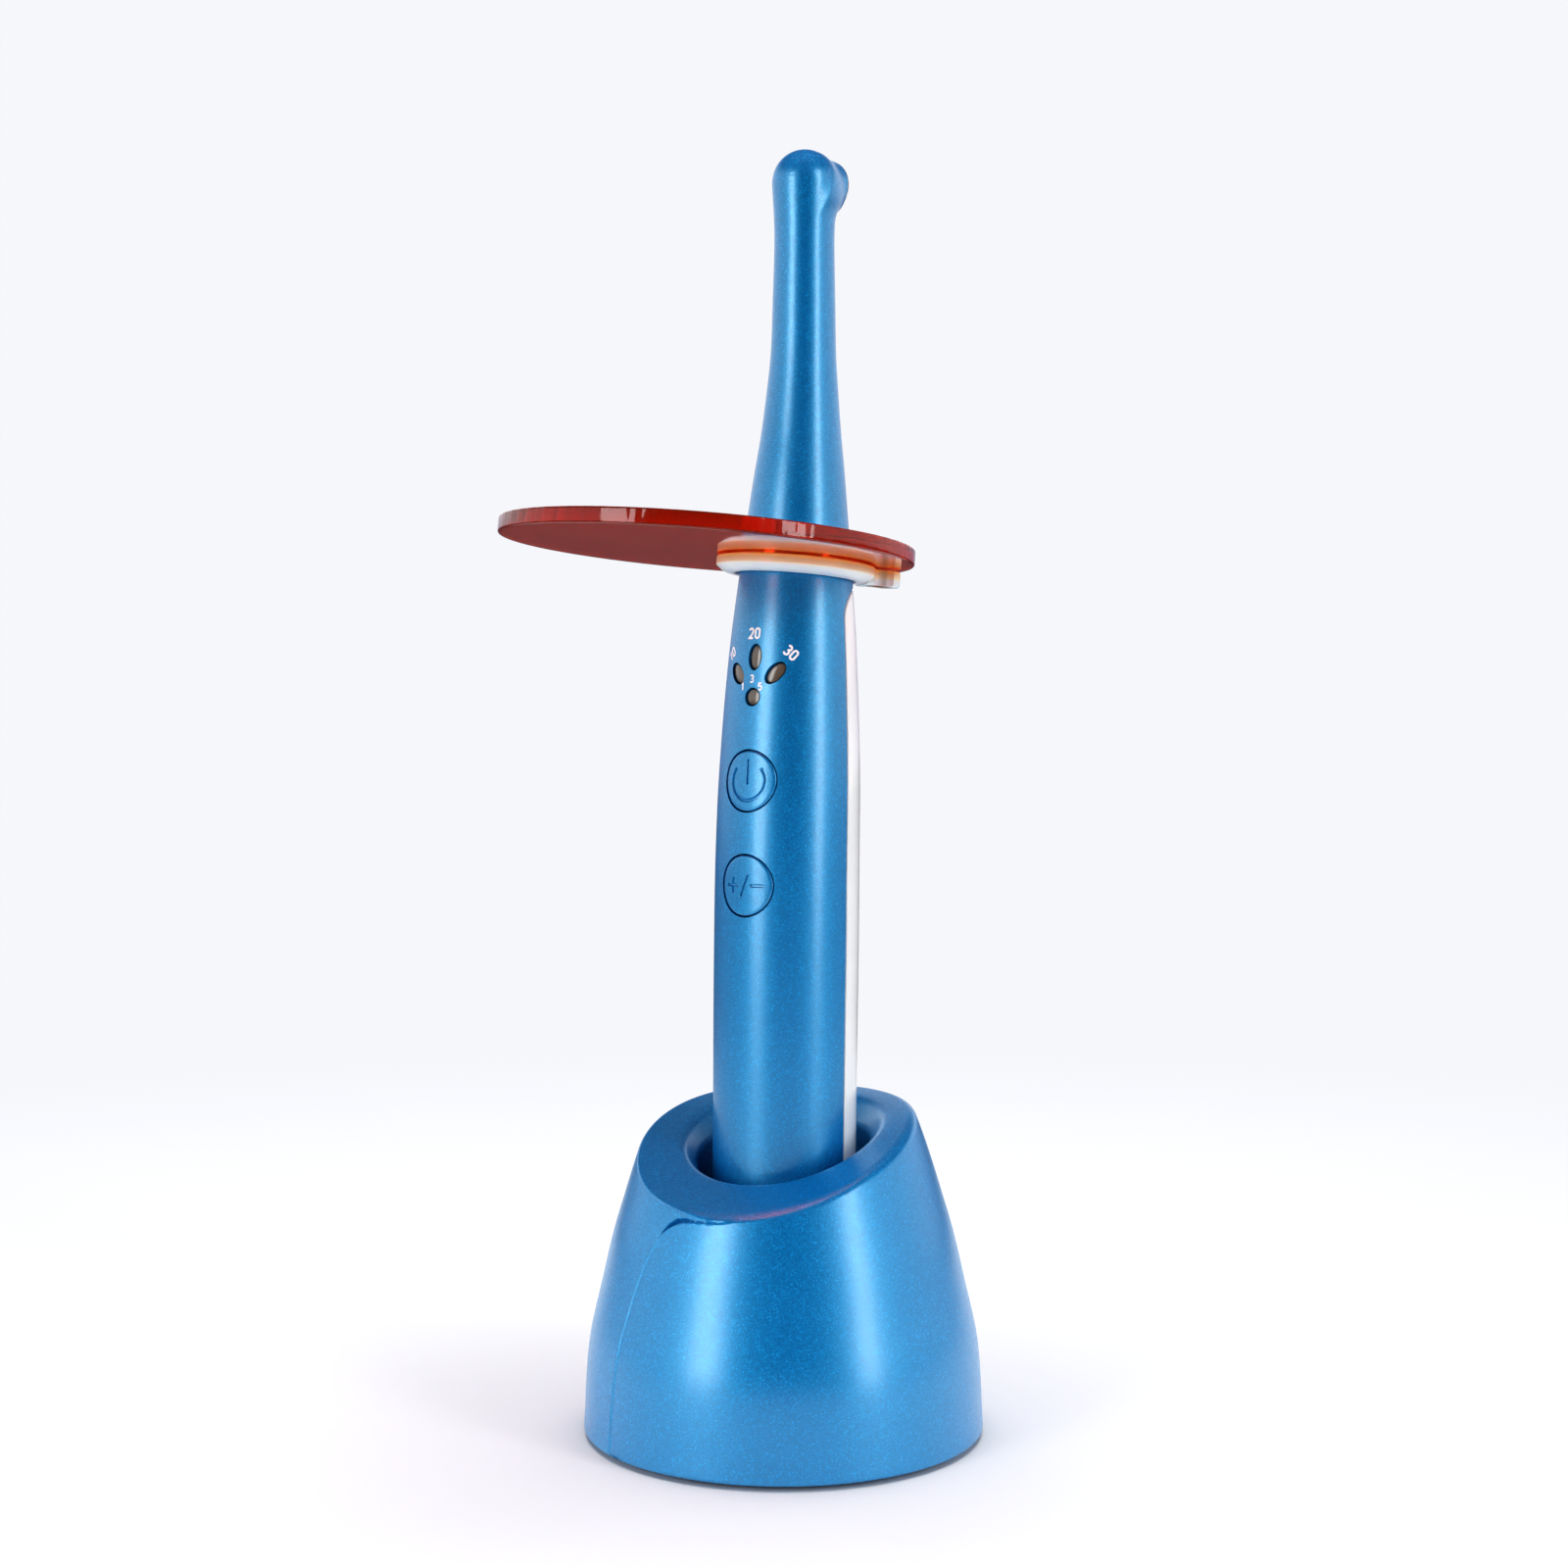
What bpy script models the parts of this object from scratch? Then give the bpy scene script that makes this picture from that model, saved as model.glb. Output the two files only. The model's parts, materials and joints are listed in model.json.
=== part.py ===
"""Cordless dental curing light in its charging base.

Metres, +Z up. The origin is the centre of the base's underside. The buttons face -Y,
the white back and the lens face +Y. Lengths below are in millimetres.
"""

import math

import bmesh
import bpy
from mathutils import Matrix, Vector

MM = 0.001

# ---------------------------------------------------------------- handpiece
TAIL_Z = 12.5                 # underside of the tail cap
SHELL_START_Z = 18.3          # lower end of the two shells
WALL = 1.6                    # wall of both shells in the handle
NECK_WALL = 1.5
# outer radius of the handle and neck against height
HANDLE = [
    (16.0, 13.3), (24.0, 13.75), (40.0, 14.0), (66.0, 14.08), (98.0, 14.2),
    (122.0, 14.0), (134.0, 13.6), (145.0, 13.0), (155.0, 12.3), (164.0, 11.44),
    (173.0, 10.5), (181.5, 9.6), (188.0, 8.85), (195.0, 7.95), (203.0, 7.15),
    (211.0, 6.5), (222.0, 6.2), (233.5, 5.96),
]
# how far the middle of the section lies behind the tail's axis, against height
BEND = [
    (12.0, -0.25), (66.0, -0.2), (98.0, 0.0), (110.0, 0.1), (122.0, 0.43),
    (133.5, 0.85), (145.0, 1.25), (160.0, 1.95), (181.5, 3.0), (195.0, 3.8),
    (210.0, 4.35), (222.0, 4.45), (252.0, 4.45),
]
LEAN_DEG = 0.4                # the handpiece leans a little in its cradle
LEAN_TO = (0.8141, 0.5807)
KNOB_Z = 244.9                # middle of the rounded head
KNOB_R = 6.5
NOZZLE_Z = 245.6              # axis of the short nozzle behind the head
NOZZLE_R = 5.2
NOZZLE_END_Y = 12.0
REAR_TOP_Z = 164.4            # upper edge of the white rear shell
PARTING_GAP = 0.3
BUTTON_R = 5.8
BUTTON_GAP = 0.3
POWER_BUTTON_Z = 126.8
MODE_BUTTON_Z = 106.8
SWITCH_TOP_Y = -9.2
BUTTON_TRAVEL = 0.5
BOARD_FRONT_Y = -5.4
BOARD_T = 1.2
CELL_R = 9.1                  # 18650 lithium cell
CELL_Z = (23.0, 88.0)

# ------------------------------------------------------------------- shield
SHIELD_AT = (0.90, 3.0, 170.0)      # neck axis at the disc's underside
SHIELD_AXIS = (0.0549, 0.0595, 1.0)
DISC_R = 40.6
DISC_T = 3.1
DISC_CENTRE = (-11.42, -14.2)       # from the neck axis
DISC_HOLE_R = 13.6
RING_R = 15.65
LUG_REACH = 21.6

# --------------------------------------------------------------------- base
# outer radius of the base against height
BASE = [
    (1.0, 39.0), (5.0, 38.8), (10.0, 38.6), (15.0, 38.3), (20.0, 37.7), (25.0, 36.5),
    (30.0, 35.3), (35.0, 34.2), (40.0, 33.0), (45.0, 31.4), (50.0, 29.9), (55.0, 28.3),
    (60.0, 26.5), (65.0, 24.5), (72.0, 21.8),
]
BASE_WALL = 2.2
TOP_MID_Z = 57.9              # the sloping top face, on the base's axis
TOP_SLOPE_DEG = 17.0
TOP_LOW_DEG = 10.0            # where the top is lowest, turned from -Y towards +X
TOP_SADDLE = 1.72             # the low and high ends lie this far under the slope at the rim
TOP_SADDLE_DEG = 11.9
WELL_R = 16.8
WELL_LIP = 4.0                # radius of the rounding from the top face into the well
WELL_TUBE_R = 19.0
WELL_END_Z = 26.0
CUP_FLOOR_Z = (10.0, 12.1)
PIN_X = 4.0
PIN_R = 0.9
PIN_TOP_Z = 13.1
PIN_TRAVEL = 0.8
BOSS_AT_R = 33.2
BOSS_ANGLES = (30.0, 150.0, 270.0)
USB_Z = 7.2


# ------------------------------------------------------------------ helpers
def table(points, at):
    """Value at a height, on a smooth curve through (height, value) points."""
    if at <= points[0][0]:
        return points[0][1]
    if at >= points[-1][0]:
        return points[-1][1]
    for i in range(len(points) - 1):
        z0, v0 = points[i]
        z1, v1 = points[i + 1]
        if z0 <= at <= z1:
            before = points[i - 1] if i else points[0]
            after = points[i + 2] if i + 2 < len(points) else points[-1]
            m0 = (v1 - before[1]) / (z1 - before[0]) * (z1 - z0)
            m1 = (after[1] - v0) / (after[0] - z0) * (z1 - z0)
            t = (at - z0) / (z1 - z0)
            return (
                (2 * t**3 - 3 * t**2 + 1) * v0 + (t**3 - 2 * t**2 + t) * m0
                + (3 * t**2 - 2 * t**3) * v1 + (t**3 - t**2) * m1
            )
    return points[-1][1]


def handle_r(z):
    return table(HANDLE, z)


def bend(z):
    return table(BEND, z)


def base_r(z):
    return table(BASE, z)


for old in list(bpy.data.objects):
    bpy.data.objects.remove(old, do_unlink=True)

parts = bpy.data.collections.new("curing_light")
cutters = bpy.data.collections.new("cutters")
bpy.context.scene.collection.children.link(parts)
bpy.context.scene.collection.children.link(cutters)


def material(name, colour, roughness, metallic=0.0, transmission=0.0):
    mat = bpy.data.materials.new(name)
    mat.use_nodes = True
    shader = mat.node_tree.nodes["Principled BSDF"]
    shader.inputs["Base Color"].default_value = (*colour, 1.0)
    shader.inputs["Roughness"].default_value = roughness
    shader.inputs["Metallic"].default_value = metallic
    shader.inputs["Transmission Weight"].default_value = transmission
    mat.diffuse_color = (*colour, 1.0)
    return mat


BLUE = (0.035, 0.22, 0.52)
WHITE = (0.92, 0.92, 0.91)


def finish_mesh(mesh):
    mesh.shade_smooth()
    mesh.set_sharp_from_angle(angle=math.radians(35))


def new_object(name, mesh, mat=None, cutter=False):
    obj = bpy.data.objects.new(name, mesh)
    (cutters if cutter else parts).objects.link(obj)
    if cutter:
        obj.hide_render = True
        obj.display_type = "WIRE"
    else:
        finish_mesh(mesh)
        if mat is not None:
            mesh.materials.append(mat)
    return obj


def from_bmesh(name, bm, mat=None, cutter=False):
    mesh = bpy.data.meshes.new(name)
    bmesh.ops.recalc_face_normals(bm, faces=bm.faces)
    bm.to_mesh(mesh)
    bm.free()
    return new_object(name, mesh, mat, cutter)


def cylinder(name, r, start, end, mat=None, cutter=False, sides=24, r2=None, bm=None):
    """Cylinder or cone between two points (mm)."""
    a, b = Vector(start), Vector(end)
    own = bm is None
    if own:
        bm = bmesh.new()
    turn = Vector((0, 0, 1)).rotation_difference((b - a).normalized()).to_matrix().to_4x4()
    place = Matrix.Translation((a + b) / 2 * MM) @ turn
    bmesh.ops.create_cone(
        bm, cap_ends=True, segments=sides, radius1=r * MM,
        radius2=(r if r2 is None else r2) * MM, depth=(b - a).length * MM, matrix=place,
    )
    return from_bmesh(name, bm, mat, cutter) if own else None


def box(name, low, high, mat=None, cutter=False, bm=None, turn=None, edge=0.0):
    """Box between two corners (mm), with its edges bevelled where edge is given."""
    low, high = Vector(low), Vector(high)
    own = bm is None
    if own:
        bm = bmesh.new()
    size = (high - low) * MM
    place = Matrix.Translation((low + high) / 2 * MM) @ (turn or Matrix.Identity(4))
    bmesh.ops.create_cube(bm, size=1.0, matrix=place @ Matrix.Diagonal((*size, 1.0)))
    obj = from_bmesh(name, bm, mat, cutter) if own else None
    if obj is not None and edge:
        bevel = obj.modifiers.new("edges", "BEVEL")
        bevel.width = edge * MM
        bevel.segments = 2
    return obj


def turned(name, profile, mat=None, cutter=False, steps=32, shift=None):
    """Turned solid from (radius, height) points; a shift moves each height along Y."""
    mesh = bpy.data.meshes.new(name + "_profile")
    mesh.from_pydata(
        [(r * MM, 0.0, z * MM) for r, z in profile],
        [(i, i + 1) for i in range(len(profile) - 1)]
        + ([(len(profile) - 1, 0)] if min(profile[0][0], profile[-1][0]) > 1e-6 else []),
        [],
    )
    obj = bpy.data.objects.new(name + "_profile", mesh)
    bpy.context.scene.collection.objects.link(obj)
    screw = obj.modifiers.new("turn", "SCREW")
    screw.angle = 2 * math.pi
    screw.steps = steps
    screw.render_steps = steps
    screw.use_merge_vertices = True
    screw.merge_threshold = 0.00001
    solid = evaluated(obj, name)
    bpy.data.objects.remove(obj, do_unlink=True)
    bm = bmesh.new()
    bm.from_mesh(solid)
    bmesh.ops.remove_doubles(bm, verts=bm.verts, dist=0.000005)
    if shift is not None:
        for vert in bm.verts:
            vert.co.y += shift(vert.co.z / MM) * MM
    return from_bmesh(name, bm, mat, cutter)


def evaluated(obj, name):
    bpy.context.view_layer.update()
    graph = bpy.context.evaluated_depsgraph_get()
    return bpy.data.meshes.new_from_object(obj.evaluated_get(graph), depsgraph=graph)


def combine(obj, other, operation):
    mod = obj.modifiers.new(operation.lower(), "BOOLEAN")
    mod.operation = operation
    mod.solver = "EXACT"
    mod.object = other
    return mod


def settle(obj):
    """Applies an object's modifiers."""
    mesh = evaluated(obj, obj.name)
    old = obj.data
    obj.modifiers.clear()
    obj.data = mesh
    bpy.data.meshes.remove(old)
    mesh.name = obj.name
    finish_mesh(mesh)
    return obj


def wire(name, points, r, mat, sides=2):
    curve = bpy.data.curves.new(name, "CURVE")
    curve.dimensions = "3D"
    spline = curve.splines.new("POLY")
    spline.points.add(len(points) - 1)
    for point, (x, y, z) in zip(spline.points, points):
        point.co = (x * MM, y * MM, z * MM, 1.0)
    curve.bevel_depth = r * MM
    curve.bevel_resolution = sides
    curve.use_fill_caps = True
    obj = bpy.data.objects.new(name, curve)
    parts.objects.link(obj)
    curve.materials.append(mat)
    return obj


# -------------------------------------------------------------------- frames
lean_axis = Vector((-LEAN_TO[1], LEAN_TO[0], 0.0))
handpiece_frame = bpy.data.objects.new("handpiece_frame", None)
handpiece_frame.location = (0.0, 0.0, TAIL_Z * MM)
handpiece_frame.rotation_mode = "QUATERNION"
handpiece_frame.rotation_quaternion = Matrix.Rotation(
    math.radians(LEAN_DEG), 3, lean_axis
).to_quaternion()
parts.objects.link(handpiece_frame)

shield_frame = bpy.data.objects.new("shield_frame", None)
shield_frame.location = Vector(SHIELD_AT) * MM
shield_frame.rotation_mode = "QUATERNION"
shield_frame.rotation_quaternion = Vector((0, 0, 1)).rotation_difference(
    Vector(SHIELD_AXIS).normalized()
)
parts.objects.link(shield_frame)


def on_handpiece(*objects):
    for obj in objects:
        obj.parent = handpiece_frame
        obj.matrix_parent_inverse = Matrix.Translation((0, 0, -TAIL_Z * MM))


def on_shield(*objects):
    for obj in objects:
        obj.parent = shield_frame


# ----------------------------------------------------------- handpiece shells
def body_heights():
    return [16.0, 24.0, 60.0, 98.0, 116.0, 130.0, 142.0, 153.0, 164.0, 173.0, 182.0,
            191.0, 200.0, 212.0, 233.0]


def knob_profile(r):
    return [
        (r * math.cos(math.radians(a)), KNOB_Z + r * math.sin(math.radians(a)))
        for a in range(90, -1, -15)
    ]


def outer_profile(start, grow=0.0):
    """Outline of the handpiece from the head's top down to its lower end."""
    points = knob_profile(KNOB_R + grow)
    points += [(6.12 + grow, 238.5)]
    points += [(handle_r(z) + grow, z) for z in reversed(body_heights()) if z > start]
    return points


def wall_at(z):
    return WALL if z < 166.0 else NECK_WALL


def full_body(name, start, cutter=False, grow=0.0):
    profile = outer_profile(start, grow)
    profile += [(handle_r(start) + grow, start), (0.0, start)]
    return turned(name, profile, cutter=cutter, steps=28, shift=bend)


def hollow(name, start):
    """The space inside the shells."""
    inner = [(0.0, KNOB_Z + KNOB_R - 1.5)]
    r = KNOB_R - 1.5
    inner += [
        (r * math.cos(math.radians(a)), KNOB_Z + r * math.sin(math.radians(a)))
        for a in (60, 30, 0)
    ]
    inner += [(4.5, 238.5)]
    inner += [(handle_r(z) - wall_at(z), z) for z in reversed(body_heights()) if z > start]
    inner += [(handle_r(start) - WALL, start), (0.0, start)]
    return turned(name, inner, cutter=True, steps=28, shift=bend)


front = full_body("front_shell", SHELL_START_Z)
front.data.materials.append(material("blue_pearl_front", BLUE, 0.3, 0.4))
nozzle = cylinder("nozzle_add", NOZZLE_R, (0, 3.0, NOZZLE_Z), (0, NOZZLE_END_Y, NOZZLE_Z),
                  cutter=True, sides=32)
combine(front, nozzle, "UNION")
settle(front)
combine(front, hollow("hollow_cut", SHELL_START_Z - 2.0), "DIFFERENCE")
combine(front, cylinder("nozzle_bore", NOZZLE_R - 0.9, (0, 5.0, NOZZLE_Z),
                        (0, NOZZLE_END_Y + 3.0, NOZZLE_Z), cutter=True, sides=32), "DIFFERENCE")
settle(front)


def split_heights():
    return [5.0, 24.0, 40.0, 66.0, 98.0, 110.0, 122.0, 133.5, 145.0]


def rear_slab(name, inset):
    """Rear zone as a stack of slices, so that its front face follows the bend."""
    top = REAR_TOP_Z + inset
    corner = 5.5
    reach = 12.3 + inset
    half = 17.0
    rows = [(z, half) for z in split_heights()]
    rows += [(top - corner, half), (top - corner + 0.001, reach)]
    for a in (75, 60, 45, 30, 15, 0):
        rows.append((top - corner + corner * math.cos(math.radians(a)),
                     reach - corner + corner * math.sin(math.radians(a))))
    bm = bmesh.new()
    rings = []
    for z, x in rows:
        y = bend(z) - inset
        rings.append([bm.verts.new((px * MM, py * MM, z * MM)) for px, py in
                      ((-x, y), (x, y), (x, 22.0), (-x, 22.0))])
    bm.faces.new(list(reversed(rings[0])))
    bm.faces.new(rings[-1])
    for a, b in zip(rings, rings[1:]):
        for i in range(4):
            j = (i + 1) % 4
            bm.faces.new((a[i], a[j], b[j], b[i]))
    return from_bmesh(name, bm, cutter=True)


combine(front, rear_slab("rear_cut", PARTING_GAP / 2), "DIFFERENCE")
settle(front)

rear_profile_outer = [(handle_r(z), z) for z in reversed(body_heights()) if SHELL_START_Z < z < 170]
rear_profile_outer.append((handle_r(SHELL_START_Z), SHELL_START_Z))
rear_profile = rear_profile_outer + [
    (handle_r(SHELL_START_Z) - WALL, SHELL_START_Z)
] + [(handle_r(z) - WALL, z) for z in body_heights() if SHELL_START_Z < z < 170]
rear = turned("rear_shell", rear_profile, material("white_gloss", WHITE, 0.18), steps=28, shift=bend)
combine(rear, rear_slab("rear_keep", -PARTING_GAP / 2), "INTERSECT")
settle(rear)

# ------------------------------------------------------------------- buttons
button_blue = material("blue_pearl_button", BLUE, 0.3, 0.4)


def button(name, z):
    skin = turned(
        name,
        [(handle_r(h), h) for h in (z + 8, z + 3, z - 3, z - 8)]
        + [(handle_r(h) - 1.5, h) for h in (z - 8, z - 3, z + 3, z + 8)],
        button_blue, steps=36, shift=bend,
    )
    combine(skin, cylinder(name + "_trim", BUTTON_R, (0, -8.6, z), (0, -17, z), cutter=True,
                           sides=32), "INTERSECT")
    settle(skin)
    cap_back = bend(z) - handle_r(z) + 0.8
    end = SWITCH_TOP_Y - BUTTON_TRAVEL - 0.05
    stem = cylinder(name + "_stem", 2.2, (0, cap_back, z), (0, end, z), cutter=True, sides=16)
    combine(skin, stem, "UNION")
    settle(skin)
    bar = box(name + "_bar", (-1.9, end - 0.75, z - 6.8), (1.9, end - 0.15, z + 6.8), cutter=True)
    combine(skin, bar, "UNION")
    settle(skin)
    combine(front, cylinder(name + "_hole", BUTTON_R + BUTTON_GAP, (0, -8.0, z), (0, -18, z),
                            cutter=True, sides=32), "DIFFERENCE")
    settle(front)
    return skin


power_button = button("power_button", POWER_BUTTON_Z)
mode_button = button("mode_button", MODE_BUTTON_Z)

# --------------------------------------------------------- indicator windows
WINDOWS = [  # x, z, half width, half height, tilt in degrees
    (0.0, 150.6, 1.25, 2.3, 0.0),
    (-4.4, 147.5, 1.25, 2.2, 40.0),
    (4.4, 147.5, 1.25, 2.2, -40.0),
    (0.0, 142.9, 1.5, 1.5, 0.0),
]


def prism(name, x, z, a, b, tilt, y0, y1, grow=0.0, bm=None, cutter=True):
    own = bm is None
    if own:
        bm = bmesh.new()
    turn = Matrix.Rotation(math.radians(tilt), 4, "Y") @ Matrix.Rotation(math.radians(90), 4, "X")
    place = Matrix.Translation((x * MM, (y0 + y1) / 2 * MM, z * MM)) @ turn
    size = Matrix.Diagonal(((a + grow) * MM, (b + grow) * MM, abs(y1 - y0) * MM, 1.0))
    bmesh.ops.create_cone(bm, cap_ends=True, segments=16, radius1=1.0, radius2=1.0, depth=1.0,
                          matrix=place @ size)
    return from_bmesh(name, bm, cutter=cutter) if own else None


for i, (x, z, a, b, tilt) in enumerate(WINDOWS):
    combine(front, prism(f"window_cut_{i}", x, z, a, b, -tilt, -5.5, -15.0, 0.3), "DIFFERENCE")
    settle(front)

guide = box("indicator_window", (-4.9, -7.6, 141.0), (4.9, -6.8, 152.2),
            material("smoked_window", (0.12, 0.09, 0.08), 0.12))
for i, (x, z, a, b, tilt) in enumerate(WINDOWS):
    face = bend(z) - math.sqrt(handle_r(z) ** 2 - x * x)
    combine(guide, prism(f"window_{i}", x, z, a, b, -tilt, face + 0.5, -7.2),
            "UNION")
    settle(guide)

# -------------------------------------------------------------------- tail
tail = turned(
    "tail_cap",
    [(0.0, 20.6), (11.6, 20.6), (11.6, 18.0), (13.4, 18.0), (13.3, 15.2), (12.7, 13.6),
     (11.6, 12.8), (10.4, TAIL_Z), (0.0, TAIL_Z)],
    material("blue_pearl_tail", BLUE, 0.35, 0.3), steps=24, shift=bend,
)
for side in (-1, 1):
    combine(tail, cylinder(f"pad_bore_{side}", 2.9, (side * PIN_X, -0.2, 11.0),
                           (side * PIN_X, -0.2, 21.5), cutter=True, sides=16), "DIFFERENCE")
    settle(tail)
    combine(tail, cylinder(f"tail_head_bore_{side}", 1.9, (0, side * 7.6 - 0.2, 11.0),
                           (0, side * 7.6 - 0.2, 14.6), cutter=True, sides=16), "DIFFERENCE")
    settle(tail)
    combine(tail, cylinder(f"tail_screw_bore_{side}", 1.2, (0, side * 7.6 - 0.2, 13.0),
                           (0, side * 7.6 - 0.2, 21.5), cutter=True, sides=12), "DIFFERENCE")
    settle(tail)

gold = material("gold_contacts", (0.83, 0.62, 0.25), 0.22, 1.0)
contact_pads = [
    cylinder(f"contact_pad_{name}", 2.5, (side * PIN_X, -0.2, 13.4), (side * PIN_X, -0.2, 19.8),
             gold, sides=20)
    for side, name in ((-1, "left"), (1, "right"))
]


def screw(name, x, y, profile, mat):
    """Round screw standing at (x, y), from (radius, height) points."""
    obj = turned(name, profile, mat, steps=12)
    obj.location = (x * MM, y * MM, 0.0)
    return obj


tail_steel = material("tail_screw_steel", (0.6, 0.6, 0.6), 0.3, 1.0)
tail_screws = [
    screw(f"tail_screw_{name}", 0.0, side * 7.6 - 0.2,
          [(0.0, 20.9), (0.85, 20.9), (0.85, 14.3), (1.6, 14.3), (1.6, 13.2), (0.0, 13.2)],
          tail_steel)
    for side, name in ((-1, "front"), (1, "rear"))
]

# --------------------------------------------------------- inside the handle
cell = turned(
    "battery_cell",
    [(0.0, CELL_Z[1]), (3.0, CELL_Z[1]), (3.0, CELL_Z[1] - 1.0), (CELL_R - 0.4, CELL_Z[1] - 1.0),
     (CELL_R, CELL_Z[1] - 1.5), (CELL_R, CELL_Z[0] + 0.4), (CELL_R - 0.4, CELL_Z[0]),
     (0.0, CELL_Z[0])],
    material("cell_wrap", (0.12, 0.45, 0.3), 0.35), steps=24,
)
cell.location.y = 0.6 * MM
holder = turned(
    "battery_holder",
    [(10.7, 90.6), (10.7, 22.6), (9.5, 22.6), (9.5, 88.6), (4.0, 88.6), (4.0, 90.6)],
    material("holder_plastic", (0.05, 0.05, 0.055), 0.5), steps=24,
)
holder.location.y = 0.6 * MM
combine(holder, box("holder_mouth", (-8.5, -12.0, 20.0), (8.5, -2.5, 85.0), cutter=True), "DIFFERENCE")
settle(holder)

board = box("main_board", (-6.5, BOARD_FRONT_Y, 92.0), (6.5, BOARD_FRONT_Y + BOARD_T, 154.0),
            material("board_green", (0.02, 0.2, 0.09), 0.4))
switch_mat = material("switch_black", (0.03, 0.03, 0.03), 0.35)


def tact_switch(name, z):
    bm = bmesh.new()
    box("", (-3, -8.2, z - 3), (3, BOARD_FRONT_Y - 0.3, z + 3), bm=bm)
    obj = from_bmesh(name, bm, switch_mat)
    combine(obj, cylinder(name + "_tip", 1.7, (0, -8.0, z), (0, SWITCH_TOP_Y, z), cutter=True,
                          sides=16), "UNION")
    settle(obj)
    return obj


power_switch = tact_switch("power_switch", POWER_BUTTON_Z)
mode_switch = tact_switch("mode_switch", MODE_BUTTON_Z)
led_mat = material("led_white", (0.8, 0.8, 0.75), 0.3)
indicator_leds = []
for name, (x, z, *_) in zip(("top", "left", "right", "centre"), WINDOWS):
    x = x * 0.8
    indicator_leds.append(box(f"indicator_led_{name}", (x - 0.8, -6.4, z - 0.8),
                              (x + 0.8, BOARD_FRONT_Y - 0.3, z + 0.8), led_mat))
board_back = BOARD_FRONT_Y + BOARD_T + 0.3
chip = material("chip_black", (0.04, 0.04, 0.045), 0.45)
board_parts = [
    box("driver_coil", (-3.2, board_back, 112.0), (3.2, board_back + 3.2, 118.4), chip),
    box("controller_chip", (-3.5, board_back, 128.0), (3.5, board_back + 1.0, 135.0), chip),
    box("lead_connector", (-2.4, board_back, 140.0), (2.4, board_back + 1.6, 144.0),
        material("connector_white", (0.8, 0.8, 0.76), 0.4)),
]
buzzer = turned("buzzer", [(0.0, 3.0), (4.3, 3.0), (4.5, 2.8), (4.5, 0.0), (0.0, 0.0)],
                material("buzzer_black", (0.03, 0.03, 0.03), 0.4), steps=20)
buzzer.rotation_euler = (math.radians(-90), 0, 0)
buzzer.location = (0, board_back * MM, 101.0 * MM)

# ------------------------------------------------------------- neck and head
ROD_R = 2.7
rod_heights = [164.0, 172.0, 180.0, 188.0, 196.0, 204.0, 214.0, 226.0, 240.5]
rod = turned(
    "heat_spreader",
    [(0.0, 240.5)] + [(ROD_R, z) for z in reversed(rod_heights)] + [(0.0, 164.0)],
    material("spreader_aluminium", (0.75, 0.76, 0.78), 0.35, 1.0), steps=20, shift=bend,
)
combine(rod, box("rod_head", (-3.1, 3.2, 240.0), (3.1, 6.6, 248.2), cutter=True), "UNION")
settle(rod)
combine(rod, box("rod_foot", (-6.0, 0.0, 158.0), (6.0, 4.0, 165.0), cutter=True), "UNION")
settle(rod)

star = cylinder("led_board", 3.7, (0, 7.0, NOZZLE_Z), (0, 8.0, NOZZLE_Z),
                material("star_board", (0.85, 0.85, 0.82), 0.35), sides=24)
emitter = box("led_emitter", (-1.75, 8.3, NOZZLE_Z - 1.75), (1.75, 9.1, NOZZLE_Z + 1.75),
              material("emitter_yellow", (0.85, 0.75, 0.25), 0.25))
lens = turned(
    "lens",
    [(0.0, 12.55)] + [(3.55 * math.sin(math.radians(a)), 11.75 + 0.8 * math.cos(math.radians(a)))
                      for a in (30, 60, 90)] + [(3.55, 9.7), (2.2, 9.4), (0.0, 9.4)],
    material("lens_clear", (0.95, 0.97, 1.0), 0.05, 0.0, 0.9), steps=24,
)
lens.rotation_euler = (math.radians(-90), 0, 0)
lens.location = (0, 0, NOZZLE_Z * MM)
lens_ring = turned(
    "lens_ring",
    [(NOZZLE_R - 0.4, 12.9), (NOZZLE_R, 12.6), (NOZZLE_R, 12.3), (3.95, 12.3), (3.95, 9.3),
     (3.85, 9.3), (3.85, 12.9)],
    material("ring_white", WHITE, 0.25), steps=24,
)
lens_ring.rotation_euler = (math.radians(-90), 0, 0)
lens_ring.location = (0, 0, NOZZLE_Z * MM)

leads = []
for name, side, colour in (("led_lead_red", -1, (0.6, 0.03, 0.03)),
                           ("led_lead_black", 1, (0.02, 0.02, 0.02))):
    points = [(side * 4.6, -2.6, 150.0), (side * 4.6, -1.6, 158.0)]
    for z in (166.0, 174.0, 182.0, 190.0, 198.0, 206.0, 214.0, 222.0, 230.0, 238.0):
        gap = 3.6 + max(0.0, (200.0 - z) / 34.0) * 0.6
        points.append((side * gap * 0.8, bend(z) - gap * 0.6, z))
    leads.append(wire(name, points, 0.42, material(name + "_mat", colour, 0.45)))

on_handpiece(front, rear, power_button, mode_button, guide, tail, *contact_pads, *tail_screws,
             cell, holder, board, power_switch, mode_switch, *indicator_leds, *board_parts, buzzer,
             rod, star, emitter, lens, lens_ring, *leads)

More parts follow.
